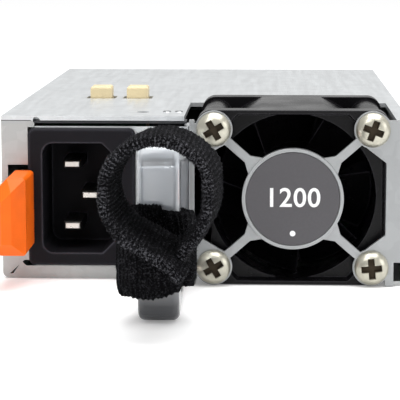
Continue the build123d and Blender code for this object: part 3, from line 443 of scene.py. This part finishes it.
def strap_pile(name, dark, light, rim_light_gain=3.0, row_floor=0.25):
    """Knitted pile: rows across the strap, black depths and grey tips, with painted rim light that makes the
    tips paler towards the margins by the given gain.
    """
    tree, shader = start_material(name, dark, 0.95)
    texture = tree.nodes.new("ShaderNodeUVMap")
    texture.uv_map = "strap"
    rows = tree.nodes.new("ShaderNodeTexWave")
    rows.inputs["Scale"].default_value = ROW_SCALE / (sizes().rib_pitch / MM)
    rows.inputs["Distortion"].default_value = 1.6
    rows.inputs["Detail Scale"].default_value = 3.0
    tree.links.new(texture.outputs["UV"], rows.inputs["Vector"])
    tufts = grain(tree, 0.36 * MM, 3.0)
    clumps = grain(tree, 2.6 * MM, 3.0)
    across = tree.nodes.new("ShaderNodeSeparateXYZ")
    tree.links.new(texture.outputs["UV"], across.inputs[0])
    off_middle = arithmetic(tree, "ABSOLUTE", across.outputs["Y"])
    # Painted rim light: the tips grow paler towards the strap's margins
    rim_light = spread(tree, off_middle, 1.0, rim_light_gain, RIM_LIGHT_START, RIM_LIGHT_END)
    row_light = spread(tree, rows.outputs["Fac"], row_floor, 1.0, 0.2, 0.9)
    tuft_light = spread(tree, tufts, 0.0, 1.0, 0.48, 0.72)
    speckle = arithmetic(tree, "MULTIPLY", row_light, tuft_light)
    tips = mix_colours(tree, arithmetic(tree, "MULTIPLY", speckle, rim_light), dark, light)
    base = mix_colours(tree, spread(tree, clumps, 0.0, 0.75, 0.35, 0.7), tips, dark)
    tree.links.new(base, shader.inputs["Base Color"])
    tree.links.new(spread(tree, tufts, 0.86, 1.0), shader.inputs["Roughness"])
    shader.inputs["Specular IOR Level"].default_value = 0.05
    dent(tree, shader, arithmetic(tree, "ADD", rows.outputs["Fac"], tufts), 0.3 * MM, 0.9)


def circuit_board(name, colour):
    """Solder mask over faint copper tracks."""
    tree, shader = start_material(name, colour, 0.35)
    brick = tree.nodes.new("ShaderNodeTexBrick")
    brick.inputs["Scale"].default_value = 1.0 / (9 * MM)
    brick.inputs["Mortar Size"].default_value = 0.03
    brick.inputs["Color1"].default_value = (*colour, 1.0)
    brick.inputs["Color2"].default_value = (*shade(colour, 1.35), 1.0)
    brick.inputs["Mortar"].default_value = (*shade(colour, 0.6), 1.0)
    tree.links.new(surface_place(tree), brick.inputs["Vector"])
    tree.links.new(brick.outputs["Color"], shader.inputs["Base Color"])
    mask = grain(tree, 3 * MM, 3.0)
    tree.links.new(spread(tree, mask, 0.28, 0.42), shader.inputs["Roughness"])
    dent(tree, shader, brick.outputs["Fac"], 0.03 * MM, 0.4)


def shrink_sleeve(name, colour):
    """Printed plastic sleeve drawn tight over a can."""
    tree, shader = start_material(name, colour, 0.3)
    wrinkles = grain(tree, 2.0 * MM, 3.0, (1.0, 0.3, 1.0))
    base = mix_colours(tree, spread(tree, wrinkles, 0.0, 1.0), shade(colour, 0.85), shade(colour, 1.2))
    tree.links.new(base, shader.inputs["Base Color"])
    tree.links.new(spread(tree, wrinkles, 0.24, 0.36), shader.inputs["Roughness"])
    dent(tree, shader, wrinkles, 0.05 * MM, 0.3)


def wound_copper(name, colour):
    """Enamelled wire laid in even turns, with painted shade between the turns."""
    tree, shader = start_material(name, colour, 0.3, metallic=0.9)
    wave = tree.nodes.new("ShaderNodeTexWave")
    wave.bands_direction = "Z"
    # Turns about two millimetres apart
    wave.inputs["Scale"].default_value = 0.16 / MM
    wave.inputs["Distortion"].default_value = 0.4
    tree.links.new(surface_place(tree), wave.inputs["Vector"])
    # Painted shade in the grooves between turns, down to half the copper's brightness
    base = mix_colours(tree, wave.outputs["Fac"], shade(colour, 0.5), colour)
    tree.links.new(base, shader.inputs["Base Color"])
    tree.links.new(spread(tree, wave.outputs["Fac"], 0.45, 0.25, 0.0, 1.0), shader.inputs["Roughness"])
    dent(tree, shader, wave.outputs["Fac"], 0.2 * MM, 0.8)


def glowing_lens(name, colour):
    """Milky lamp lens."""
    tree, shader = start_material(name, colour, 0.25)
    haze = grain(tree, 0.8 * MM, 2.0)
    base = mix_colours(tree, spread(tree, haze, 0.0, 1.0), shade(colour, 0.9), colour)
    tree.links.new(base, shader.inputs["Base Color"])
    tree.links.new(spread(tree, haze, 0.2, 0.3), shader.inputs["Roughness"])
    dent(tree, shader, haze, 0.02 * MM, 0.3)


def make_finishes():
    """One material for each of the record's slots, and some for single pieces."""
    look = colours()
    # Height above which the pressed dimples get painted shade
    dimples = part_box("top_cover")[1].z - DIMPLE_RISE
    # Fibre tips paler than the strap's grey, as painted rim light
    rim_lit_tips = shade(look.strap_light, 2.2)
    # Darker tips for the wrap behind the loop, as painted shade
    shaded_tips = shade(look.strap_light, 0.5)
    plated_steel("zinc_sheet", look.zinc, shade_above=dimples)
    plated_steel("zinc_in_shade", look.zinc_in_shade)
    plated_steel("guard_steel", look.guard, roughness=0.34)
    painted("disc_grey", look.disc)
    # Strong painted highlights along the fan frame's edges
    moulded("fan_plastic", look.fan, roughness=0.26, edge_highlight=7.0, shine=0.16, reach=0.4 * MM)
    moulded("magnet", (0.05, 0.05, 0.05), roughness=0.6)
    blade_steel("blade_steel", (0.80, 0.77, 0.72))
    plated_steel("pin_steel", (0.85, 0.84, 0.80), roughness=0.22)
    plated_steel("core_steel", (0.45, 0.46, 0.48), roughness=0.45, spangle=1.2 * MM)
    screw_plating("screw_nickel", look.screw, look.recess)
    # Strong painted highlights along the inlet's edges
    moulded("inlet_plastic", look.inlet, roughness=0.5, edge_highlight=6.5, shine=0.06, reach=0.55 * MM)
    smoke_plastic("handle_smoke", look.handle_shade, look.handle)
    glowing_lens("lamp", (0.75, 0.85, 0.75))
    strap_pile("strap_fabric", look.strap, look.strap_light)
    # The loose fibres: a lighter base and paler tips, as painted rim light
    strap_pile("strap_rim_lit_tips", shade(look.strap, 4.0), rim_lit_tips, rim_light_gain=1.0, row_floor=0.8)
    # The wrap's finish, its tips darkened as painted shade
    strap_pile("strap_in_shade", look.strap, shaded_tips, rim_light_gain=1.0, row_floor=0.8)
    moulded("latch_orange", look.latch, roughness=0.42, edge_highlight=1.1, shine=0.25)
    circuit_board("board_green", (0.012, 0.09, 0.035))
    plated_steel("contact_gold", (0.83, 0.62, 0.22), roughness=0.25)
    wound_copper("copper", (0.72, 0.29, 0.11))
    moulded("ferrite", (0.035, 0.035, 0.038), roughness=0.7)
    shrink_sleeve("capacitor_sleeve", (0.012, 0.014, 0.03))
    plated_steel("heat_sink", (0.62, 0.63, 0.64), roughness=0.4, spangle=0.8 * MM)
    moulded("nylon", look.nylon, roughness=0.45, edge_highlight=1.12)
    moulded("insulator", (0.036, 0.038, 0.042), roughness=0.5)
    painted("mark_white", look.marks, roughness=0.5)


def finish_of(slot):
    """The slot's material, made with all the others the first time it is asked for."""
    if FINISH_PREFIX + slot not in bpy.data.materials:
        make_finishes()
    return bpy.data.materials[FINISH_PREFIX + slot]


def coat(finish, *nodes):
    """Give CAD nodes one finish."""
    for name in nodes:
        piece = frame["nodes"][name]
        piece.data.materials.clear()
        piece.data.materials.append(finish_of(finish))


def dress(*nodes):
    """Give CAD nodes their own slots' finishes."""
    for name in nodes:
        coat(SLOT_OF[name], name)


def soften(width, *nodes, segments=2):
    """Small rounded edges that catch the light, once the mesh's points are joined and its flats are whole."""
    for name in nodes:
        joined = frame["nodes"][name].modifiers.new("joined", "WELD")
        joined.merge_threshold = 0.005 * MM
        flats = frame["nodes"][name].modifiers.new("flats", "DECIMATE")
        flats.decimate_type = "DISSOLVE"
        flats.angle_limit = math.radians(1)
        bevel = frame["nodes"][name].modifiers.new("edge_round", "BEVEL")
        bevel.width = width
        bevel.segments = segments
        bevel.limit_method = "ANGLE"
        bevel.use_clamp_overlap = False
        bevel.angle_limit = math.radians(40)


def mesh_data(name, mesh):
    """Turn a finished bmesh into mesh data."""
    data = bpy.data.meshes.new(name)
    mesh.to_mesh(data)
    mesh.free()
    return data


def new_piece(name, mesh, slot):
    """A piece of its own that rides on the case and wears a slot's finish."""
    piece = bpy.data.objects.new(name, mesh)
    bpy.context.scene.collection.objects.link(piece)
    mesh.materials.append(finish_of(slot))
    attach(piece, "case")
    return piece


# Strap: a loop that stands in front and a wrap about the grip, each a swept ribbon
def loop_stations():
    """Centres and width directions of the loop, placed from the CAD solid's box."""
    low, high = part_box("strap_loop")
    half = sizes().strap_thickness / 2
    radius = (high.x - low.x) / 2
    centre_x = (low.x + high.x) / 2
    centre_z = high.z - radius
    middle_y = (low.y + high.y) / 2
    stations = []

    # Millimetres from the crown's centre, degrees, and the breadth as a share of the full one
    def add(x, z, tilt, back=0.0, rise=0.0, share=1.0):
        place = Vector((centre_x + x * MM, middle_y + back * MM, centre_z + z * MM))
        wide = Vector((math.sin(math.radians(tilt)), 1.0, math.sin(math.radians(rise))))
        stations.append((place, wide.normalized(), share))

    # From the end tucked in at the lower right, up and over the crown
    for x, z in (
        (4.6, -15.4), (2.6, -13.4), (0.6, -11.8), (-1.9, -10.4), (-4.6, -9.0), (-7.3, -6.7), (-9.3, -3.3),
    ):
        add(x, z, LOOP_LEAN, rise=7)
    reach = (radius - half) / MM
    for turn in (172, 150, 125, 100, 76, 55):
        angle = math.radians(turn)
        add(reach * math.cos(angle), reach * math.sin(angle), LOOP_LEAN)
    # The right side straightens, slips back and narrows as it comes down
    for x, z, tilt, back, share in (
        (9.0, 4.6, LOOP_LEAN, 0.0, 1.0),
        (9.6, 0.2, LOOP_LEAN, 0.0, 1.0),
        (9.2, -3.9, 4, 0.4, 1.0),
        (7.1, -8.2, 3, 1.8, 0.9),
        (4.6, -11.8, 2, 3.4, 0.75),
        (3.8, -15.2, 0, 5.0, 0.6),
        (2.8, -17.6, 0, 5.8, 0.5),
    ):
        add(x, z, tilt, back, share=share)
    return stations, (high.y - low.y) * LOOP_BAND


def wrap_stations():
    """One and a bit turns about the grip, a little slack on the left."""
    low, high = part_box("strap_wrap")
    half = sizes().strap_thickness / 2
    inset = 2.6 * MM
    middle = (low.z + high.z) / 2
    left = low.x + half
    right = high.x - half
    front = low.y + half
    back = high.y - half
    centre_x = (left + right) / 2
    centre_y = (front + back) / 2
    upright = Vector((0.0, 0.0, 1.0))
    stations = []
    # Place, millimetres above the middle and share of the breadth, anticlockwise from the right rear corner
    for x, y, rise, share in (
        (right - 0.6 * MM, back - inset, -1.6, 0.84),
        (right - inset, back - 0.8 * MM, -1.6, 0.84),
        (centre_x, back - 0.8 * MM, -1.0, 0.9),
        (left + inset, back - 0.4 * MM, -1.4, 0.85),
        (left + 1.5 * MM, centre_y, -1.1, 0.9),
        (left + 1.3 * MM, front + inset, -0.7, 0.96),
        (left + 1.3 * MM + inset * 0.8, front + 0.5 * MM, -0.7, 1.0),
        (centre_x - 1.0 * MM, front, -0.6, 1.03),
        (centre_x + 3.0 * MM, front, -0.2, 0.95),
        (right - inset * 0.9, front + 0.5 * MM, 0.15, 0.80),
        (right - 0.3 * MM, front + inset, 0.3, 0.71),
        (right, centre_y, -0.9, 0.76),
        (right - 0.2 * MM, back - inset, -1.5, 0.84),
        (right - inset, back, -1.5, 0.84),
        (centre_x, back + 1.2 * MM, -1.0, 0.9),
    ):
        stations.append((Vector((x, y, middle + rise * MM)), upright, share))
    return stations, high.z - low.z


def between(points, index, share):
    """Catmull-Rom between points[index] and the next."""
    a = points[max(index - 1, 0)]
    b = points[index]
    c = points[index + 1]
    d = points[min(index + 2, len(points) - 1)]
    square = share * share
    cube = square * share
    slope = (c - a) * share
    bow = (2 * a - 5 * b + 4 * c - d) * square
    turn = (3 * b - a - 3 * c + d) * cube
    return 0.5 * ((2 * b) + slope + bow + turn)


def even_line(stations, step):
    """Stations interpolated to even steps along the strap."""
    columns = list(zip(*stations))
    fine = []
    parts = 40
    for index in range(len(stations) - 1):
        for part in range(parts):
            fine.append([between(column, index, part / parts) for column in columns])
    line = [fine[0]]
    left_over = 0.0
    for start, row in zip(fine, fine[1:]):
        left_over += (row[0] - start[0]).length
        if left_over >= step:
            line.append(row)
            left_over -= step
    return line


def section_points(place, wide, out, width, half, rib):
    """One closed section: flat faces, thinned ribbed edges and uneven pile."""
    points = []
    for side, share in SECTION:
        near_edge = abs(share) ** EDGE_POWER
        spot = place + wide * (width / 2 * share) + out * (side * half * (1 - EDGE_THINNING * near_edge))
        fine = noise.noise(spot / (FINE_PITCH * MM)) * FINE_PILE * MM
        coarse = noise.noise(spot / (COARSE_PITCH * MM)) * COARSE_PILE * MM
        rough = fine + coarse
        spot += out * side * (rough + rib * FACE_RIB * MM)
        spot += wide * share * near_edge * (rough + rib * EDGE_RIB * MM)
        points.append(spot)
    return points


def make_ribbon(name, stations, width):
    """Sweep a thick ribbon with its length and breadth kept as texture coordinates in millimetres."""
    size = sizes()
    step = size.rib_pitch / STEPS_PER_RIB
    line = even_line(stations, step)
    half = size.strap_thickness / 2
    mesh = bmesh.new()
    uv = mesh.loops.layers.uv.new("strap")
    rings = []
    for index, (place, wide, share) in enumerate(line):
        before = line[max(index - 1, 0)][0]
        after = line[min(index + 1, len(line) - 1)][0]
        along = (after - before).normalized()
        wide = (wide - along * wide.dot(along)).normalized()
        rib = math.cos(2 * math.pi * index / STEPS_PER_RIB)
        points = section_points(place, wide, along.cross(wide), width * share, half, rib)
        rings.append([mesh.verts.new(spot) for spot in points])
    across = [share * width / 2 / MM for _, share in SECTION]
    for row, (first, second) in enumerate(zip(rings, rings[1:])):
        for index in range(len(SECTION)):
            other = (index + 1) % len(SECTION)
            face = mesh.faces.new((first[index], first[other], second[other], second[index]))
            corners = ((row, index), (row, other), (row + 1, other), (row + 1, index))
            for loop, (along_step, place_across) in zip(face.loops, corners):
                loop[uv].uv = (along_step * step / MM, across[place_across])
    mesh.faces.new(list(reversed(rings[0])))
    mesh.faces.new(rings[-1])
    bmesh.ops.recalc_face_normals(mesh, faces=mesh.faces)
    data = mesh_data(name, mesh)
    data.shade_smooth()
    return data, len(line) * step


def make_fibres(name, strap, count):
    """Short loose fibres as slim three-sided spikes, rooted in the strap's faces."""
    length = sizes().fibre_length
    chance = random.Random(FIBRE_SEED)
    faces = [face for face in strap.polygons if len(face.vertices) == 4]
    mesh = bmesh.new()
    for _ in range(count):
        face = chance.choice(faces)
        root = face.center - face.normal * FIBRE_ROOT * MM
        lean = Vector((chance.gauss(0, 1), chance.gauss(0, 1), chance.gauss(0, 1))) * FIBRE_LEAN
        share = chance.uniform(FIBRE_SHORTEST, 1.0)
        tip = root + (face.normal + lean).normalized() * length * share
        axis = (tip - root).normalized()
        side = axis.orthogonal().normalized() * FIBRE_RADIUS * MM
        other = axis.cross(side)
        base = [
            mesh.verts.new(root + side * math.cos(turn) + other * math.sin(turn))
            for turn in (0.0, 2 * math.pi / 3, 4 * math.pi / 3)
        ]
        top = mesh.verts.new(tip)
        mesh.faces.new(tuple(reversed(base)))
        for index in range(3):
            mesh.faces.new((base[index], base[(index + 1) % 3], top))
    return mesh_data(name, mesh)


# Soft gasket stuck under the lid's front rim, and a painted shadow along the seam beside it
def make_gasket():
    """A strip over the inlet panel, and a thin dark bar beside it, the painted shadow of the seam between the
    lid and the corner flange.
    """
    panel_low, panel_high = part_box("inlet_panel")
    tray_low, tray_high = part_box("bottom_tray")
    thickness = 0.66 * MM
    depth = 3.6 * MM
    front = panel_low.y + 0.35 * MM
    top = tray_high.z - 0.02 * MM
    low = top - thickness
    middle = (low + top) / 2
    # Rounding of the front edge, as depth and height, and the depth halfway round
    round_depth = 0.2 * MM
    round_height = 0.12 * MM
    halfway = 0.04 * MM
    strip = [
        (front + depth, low),
        (front + round_depth, low),
        (front + halfway, low + round_height),
        (front, middle),
        (front + halfway, top - round_height),
        (front + round_depth, top),
        (front + depth, top),
    ]
    # Painted shadow of the seam: a thin dark bar between the lid and the corner flange
    seam_front = panel_low.y - 0.02 * MM
    seam_back = seam_front + 0.3 * MM
    seam_low = tray_high.z - 0.12 * MM
    seam_top = tray_high.z + 0.06 * MM
    seam_shadow = [(seam_back, seam_low), (seam_front, seam_low), (seam_front, seam_top), (seam_back, seam_top)]
    mesh = bmesh.new()
    for profile, left, right in (
        (strip, panel_low.x - 0.6 * MM, panel_high.x - 0.4 * MM),
        (seam_shadow, tray_low.x, panel_low.x - 0.8 * MM),
    ):
        ends = [[mesh.verts.new((x, y, z)) for y, z in profile] for x in (left, right)]
        for index in range(len(profile)):
            after = (index + 1) % len(profile)
            mesh.faces.new((ends[0][index], ends[0][after], ends[1][after], ends[1][index]))
        for end in ends:
            mesh.faces.new(end)
    bmesh.ops.recalc_face_normals(mesh, faces=mesh.faces)
    return mesh_data("lid_gasket", mesh)


# Flap under the lid that turns the fan's air down to the converter
def make_air_guide():
    """A bent plastic sheet from the lid behind the fan, cut clear of the side walls."""
    fan_low, fan_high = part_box("fan_frame")
    lid_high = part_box("top_cover")[1].z
    left = fan_low.x - 12.5 * MM
    right = fan_high.x - 1 * MM
    root = lid_high - 1.9 * MM
    # Millimetres behind the fan and above the root, from the glued end to the free one
    profile = [(4.0, 0.0), (9.0, 0.0), (9.6, -0.4), (12.5, -7.6), (12.5, -8.6)]
    mesh = bmesh.new()
    rows = []
    for y, z in profile:
        rows.append([mesh.verts.new((x, fan_high.y + y * MM, root + z * MM)) for x in (left, right)])
    for first, second in zip(rows, rows[1:]):
        mesh.faces.new((first[0], first[1], second[1], second[0]))
    bmesh.ops.recalc_face_normals(mesh, faces=mesh.faces)
    bmesh.ops.solidify(mesh, geom=mesh.faces[:], thickness=0.4 * MM)
    return mesh_data("air_guide", mesh)


# Marks on the disc of the fan guard
def make_number(text, height, thickness):
    """A plain number as a thin raised print."""
    curve = bpy.data.curves.new("disc_number", "FONT")
    curve.body = text
    curve.size = height / DIGIT_SHARE
    curve.align_x = "CENTER"
    curve.align_y = "CENTER"
    curve.offset = STROKE_GAIN * height
    curve.extrude = thickness / 2
    curve.space_character = DIGIT_SPACE
    holder = bpy.data.objects.new("disc_number_curve", curve)
    bpy.context.scene.collection.objects.link(holder)
    graph = bpy.context.evaluated_depsgraph_get()
    data = bpy.data.meshes.new_from_object(holder.evaluated_get(graph))
    bpy.data.objects.remove(holder)
    return data


def make_dot(diameter, thickness):
    """A round printed dot with a softened rim."""
    mesh = bmesh.new()
    bmesh.ops.create_cone(
        mesh, cap_ends=True, segments=32, radius1=diameter / 2, radius2=diameter / 2 * 0.94, depth=thickness)
    return mesh_data("disc_dot", mesh)


class SUPPLY_OT_case(bpy.types.Operator):
    """Finish the tray, cover, panels and their screws, and lay the lid's gasket with the painted shadow of
    its seam
    """
    bl_idname = "supply.case"
    bl_label = "Sheet-metal case"

    def execute(self, context):
        dress("top_cover", "rear_panel", "cover_screws", "nylon_keys")
        # The tray wears the darker copy of the zinc, painted shade
        coat("zinc_in_shade", "bottom_tray")
        coat("zinc_sheet", "inlet_panel")
        new_piece("lid_gasket", make_gasket(), "insulator")
        return {"FINISHED"}


class SUPPLY_OT_fan(bpy.types.Operator):
    """Finish the fan with its guard, screws and motor"""
    bl_idname = "supply.fan"
    bl_label = "Fan and guard"

    def execute(self, context):
        dress("fan_frame", "fan_rotor", "fan_magnet", "fan_shaft", "fan_bearings", "fan_stator")
        soften(0.12 * MM, "fan_guard")
        dress("fan_driver_board", "fan_guard", "guard_disc", "fan_screws")
        return {"FINISHED"}


class SUPPLY_OT_marks(bpy.types.Operator):
    """Print a plain number and a dot on the guard's disc"""
    bl_idname = "supply.marks"
    bl_label = "Disc marks"

    def execute(self, context):
        size = sizes()
        low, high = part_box("guard_disc")
        centre = (low + high) / 2
        facing_front = (math.radians(90), 0.0, 0.0)
        number = new_piece("disc_number", make_number("1200", size.digit_height, PRINT_DEPTH), "disc_grey")
        dot = new_piece("disc_dot", make_dot(size.dot_diameter, PRINT_DEPTH), "disc_grey")
        for piece, drop in ((number, NUMBER_DROP), (dot, DOT_DROP)):
            piece.data.materials[0] = finish_of("mark_white")
            piece.rotation_euler = facing_front
            piece.location = (centre.x, low.y - PRINT_DEPTH / 2, centre.z - drop)
            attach(piece, "case")
        return {"FINISHED"}


class SUPPLY_OT_inlet(bpy.types.Operator):
    """Finish the mains inlet and its three blades"""
    bl_idname = "supply.inlet"
    bl_label = "Mains inlet"

    def execute(self, context):
        soften(0.25 * MM, "inlet_housing")
        dress("inlet_housing", "filter_board")
        coat("blade_steel", "line_pin", "neutral_pin", "earth_pin")
        return {"FINISHED"}


class SUPPLY_OT_handle(bpy.types.Operator):
    """Finish the clear handle, its screws and the lamp behind it"""
    bl_idname = "supply.handle"
    bl_label = "Handle"

    def execute(self, context):
        soften(1.3 * MM, "handle", segments=4)
        dress("handle", "handle_screws", "status_lamp")
        return {"FINISHED"}


class SUPPLY_OT_strap(bpy.types.Operator):
    """Build the hook-and-loop strap in place of its plain solids"""
    bl_idname = "supply.strap"
    bl_label = "Strap"

    def execute(self, context):
        count = sizes().fibre_count // 2
        for name, (stations, width), node, finish in (
            ("strap_ring", loop_stations(), "strap_loop", "strap_fabric"),
            ("strap_turns", wrap_stations(), "strap_wrap", "strap_in_shade"),
        ):
            data, length = make_ribbon(name, stations, width)
            ribbon = new_piece(name, data, "strap_fabric")
            ribbon.data.materials[0] = finish_of(finish)
            fibres = new_piece(name + "_fibres", make_fibres(name + "_fibres", data, count), "strap_fabric")
            fibres.data.materials[0] = finish_of("strap_rim_lit_tips")
            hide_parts(node)
        return {"FINISHED"}


class SUPPLY_OT_latch(bpy.types.Operator):
    """Finish the release latch"""
    bl_idname = "supply.latch"
    bl_label = "Release latch"

    def execute(self, context):
        dress("latch_arm", "latch_tab", "latch_pin", "latch_spring")
        return {"FINISHED"}


class SUPPLY_OT_inside(bpy.types.Operator):
    """Finish the boards and everything that stands on them, and hang the air guide"""
    bl_idname = "supply.inside"
    bl_label = "Boards and converter"

    def execute(self, context):
        dress("main_board", "edge_contacts", "board_posts", "filter_choke", "bulk_capacitors")
        dress("transformer_core", "transformer_winding", "heat_sinks", "output_capacitors", "insulator_sheet")
        new_piece("air_guide", make_air_guide(), "insulator")
        return {"FINISHED"}


def add_lamp(name, place, target, side, power):
    """A square soft box that faces its target, its side in metres and its power in watts."""
    light = bpy.data.lights.new(name, "AREA")
    light.energy = power
    light.size = side
    lamp = bpy.data.objects.new(name, light)
    bpy.context.scene.collection.objects.link(lamp)
    lamp.location = place
    lamp.rotation_euler = (Vector(target) - Vector(place)).to_track_quat("-Z", "Y").to_euler()


def backdrop_rays(tree):
    """1 for the rays that see the backdrop itself, straight or through clear plastic."""
    path = tree.nodes.new("ShaderNodeLightPath")
    return arithmetic(tree, "MAXIMUM", path.outputs["Is Camera Ray"], path.outputs["Is Transmission Ray"])


def make_world():
    """White surroundings, dimmer as a light than as a backdrop."""
    world = bpy.data.worlds.new("studio")
    world.use_nodes = True
    tree = world.node_tree
    light = tree.nodes["Background"]
    light.inputs["Color"].default_value = (1.0, 1.0, 1.0, 1.0)
    light.inputs["Strength"].default_value = SURROUND_LIGHT
    white = tree.nodes.new("ShaderNodeBackground")
    white.inputs["Color"].default_value = (1.0, 1.0, 1.0, 1.0)
    white.inputs["Strength"].default_value = 1.0
    mix = tree.nodes.new("ShaderNodeMixShader")
    tree.links.new(backdrop_rays(tree), mix.inputs[0])
    tree.links.new(light.outputs[0], mix.inputs[1])
    tree.links.new(white.outputs[0], mix.inputs[2])
    tree.links.new(mix.outputs[0], tree.nodes["World Output"].inputs["Surface"])
    bpy.context.scene.world = world


def paint_floor():
    """Pale floor that glows where the camera sees it, more with distance, to meet the backdrop unseen."""
    tree, shader = start_material("floor_white", colours().floor, 0.9)
    shader.inputs["Specular IOR Level"].default_value = 0.0
    span = tree.nodes.new("ShaderNodeVectorMath")
    span.operation = "LENGTH"
    tree.links.new(surface_place(tree), span.inputs[0])
    glow = tree.nodes.new("ShaderNodeEmission")
    strength = spread(tree, span.outputs["Value"], GLOW_NEAR, GLOW_FAR, GLOW_START, GLOW_END)
    tree.links.new(strength, glow.inputs["Strength"])
    lit = tree.nodes.new("ShaderNodeAddShader")
    tree.links.new(shader.outputs[0], lit.inputs[0])
    tree.links.new(glow.outputs[0], lit.inputs[1])
    mix = tree.nodes.new("ShaderNodeMixShader")
    tree.links.new(backdrop_rays(tree), mix.inputs[0])
    tree.links.new(shader.outputs[0], mix.inputs[1])
    tree.links.new(lit.outputs[0], mix.inputs[2])
    tree.links.new(mix.outputs[0], tree.nodes["Material Output"].inputs["Surface"])


def make_floor():
    """A square floor just under the lowest piece."""
    reach = sizes().floor_size / 2
    mesh = bmesh.new()
    corners = ((-reach, -reach), (reach, -reach), (reach, reach), (-reach, reach))
    mesh.faces.new([mesh.verts.new((x, y, 0.0)) for x, y in corners])
    floor = bpy.data.objects.new("floor", mesh_data("floor", mesh))
    bpy.context.scene.collection.objects.link(floor)
    floor.location.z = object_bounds()[0][2] - FLOOR_GAP
    paint_floor()
    floor.data.materials.append(finish_of("floor_white"))
    floor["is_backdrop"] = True


def make_camera():
    """The photograph's own camera."""
    data = bpy.data.cameras.new("photo_camera")
    data.lens = CAMERA_LENS
    data.sensor_width = CAMERA_SENSOR
    data.clip_start = 0.01
    camera = bpy.data.objects.new("photo_camera", data)
    bpy.context.scene.collection.objects.link(camera)
    camera.location = CAMERA_PLACE
    camera.rotation_euler = (math.radians(90 + CAMERA_PITCH), 0.0, math.radians(CAMERA_YAW))
    bpy.context.scene.camera = camera


class SUPPLY_OT_stage(bpy.types.Operator):
    """Set the camera, the floor, the lights and the white surroundings"""
    bl_idname = "supply.stage"
    bl_label = "Stage"

    def execute(self, context):
        context.scene.view_settings.view_transform = "Standard"
        make_camera()
        make_world()
        make_floor()
        for name, place, side, power in LAMPS:
            add_lamp(name, place, LAMP_TARGET, side, power)
        return {"FINISHED"}


OPERATORS = (
    SUPPLY_OT_stage,
    SUPPLY_OT_case,
    SUPPLY_OT_fan,
    SUPPLY_OT_marks,
    SUPPLY_OT_inlet,
    SUPPLY_OT_handle,
    SUPPLY_OT_strap,
    SUPPLY_OT_latch,
    SUPPLY_OT_inside,
)


class SUPPLY_PT_panel(bpy.types.Panel):
    """Every step of the power supply's looks, in order"""
    bl_idname = "SUPPLY_PT_panel"
    bl_label = "Power supply"
    bl_space_type = "VIEW_3D"
    bl_region_type = "UI"
    bl_category = "Power supply"

    def draw(self, context):
        for settings in (context.scene.supply_sizes, context.scene.supply_colours):
            box = self.layout.box()
            for name in settings.__annotations__:
                box.prop(settings, name)
        for operator in OPERATORS:
            self.layout.operator(operator.bl_idname)


CLASSES = (SupplySizes, SupplyColours, *OPERATORS, SUPPLY_PT_panel)


def register():
    for item in CLASSES:
        bpy.utils.register_class(item)
    bpy.types.Scene.supply_sizes = bpy.props.PointerProperty(type=SupplySizes)
    bpy.types.Scene.supply_colours = bpy.props.PointerProperty(type=SupplyColours)


def unregister():
    del bpy.types.Scene.supply_colours
    del bpy.types.Scene.supply_sizes
    for item in reversed(CLASSES):
        bpy.utils.unregister_class(item)


def main():
    register()
    bpy.ops.supply.stage()
    bpy.ops.supply.case()
    bpy.ops.supply.fan()
    bpy.ops.supply.marks()
    bpy.ops.supply.inlet()
    bpy.ops.supply.handle()
    bpy.ops.supply.strap()
    bpy.ops.supply.latch()
    bpy.ops.supply.inside()


if __name__ == "__main__":
    main()
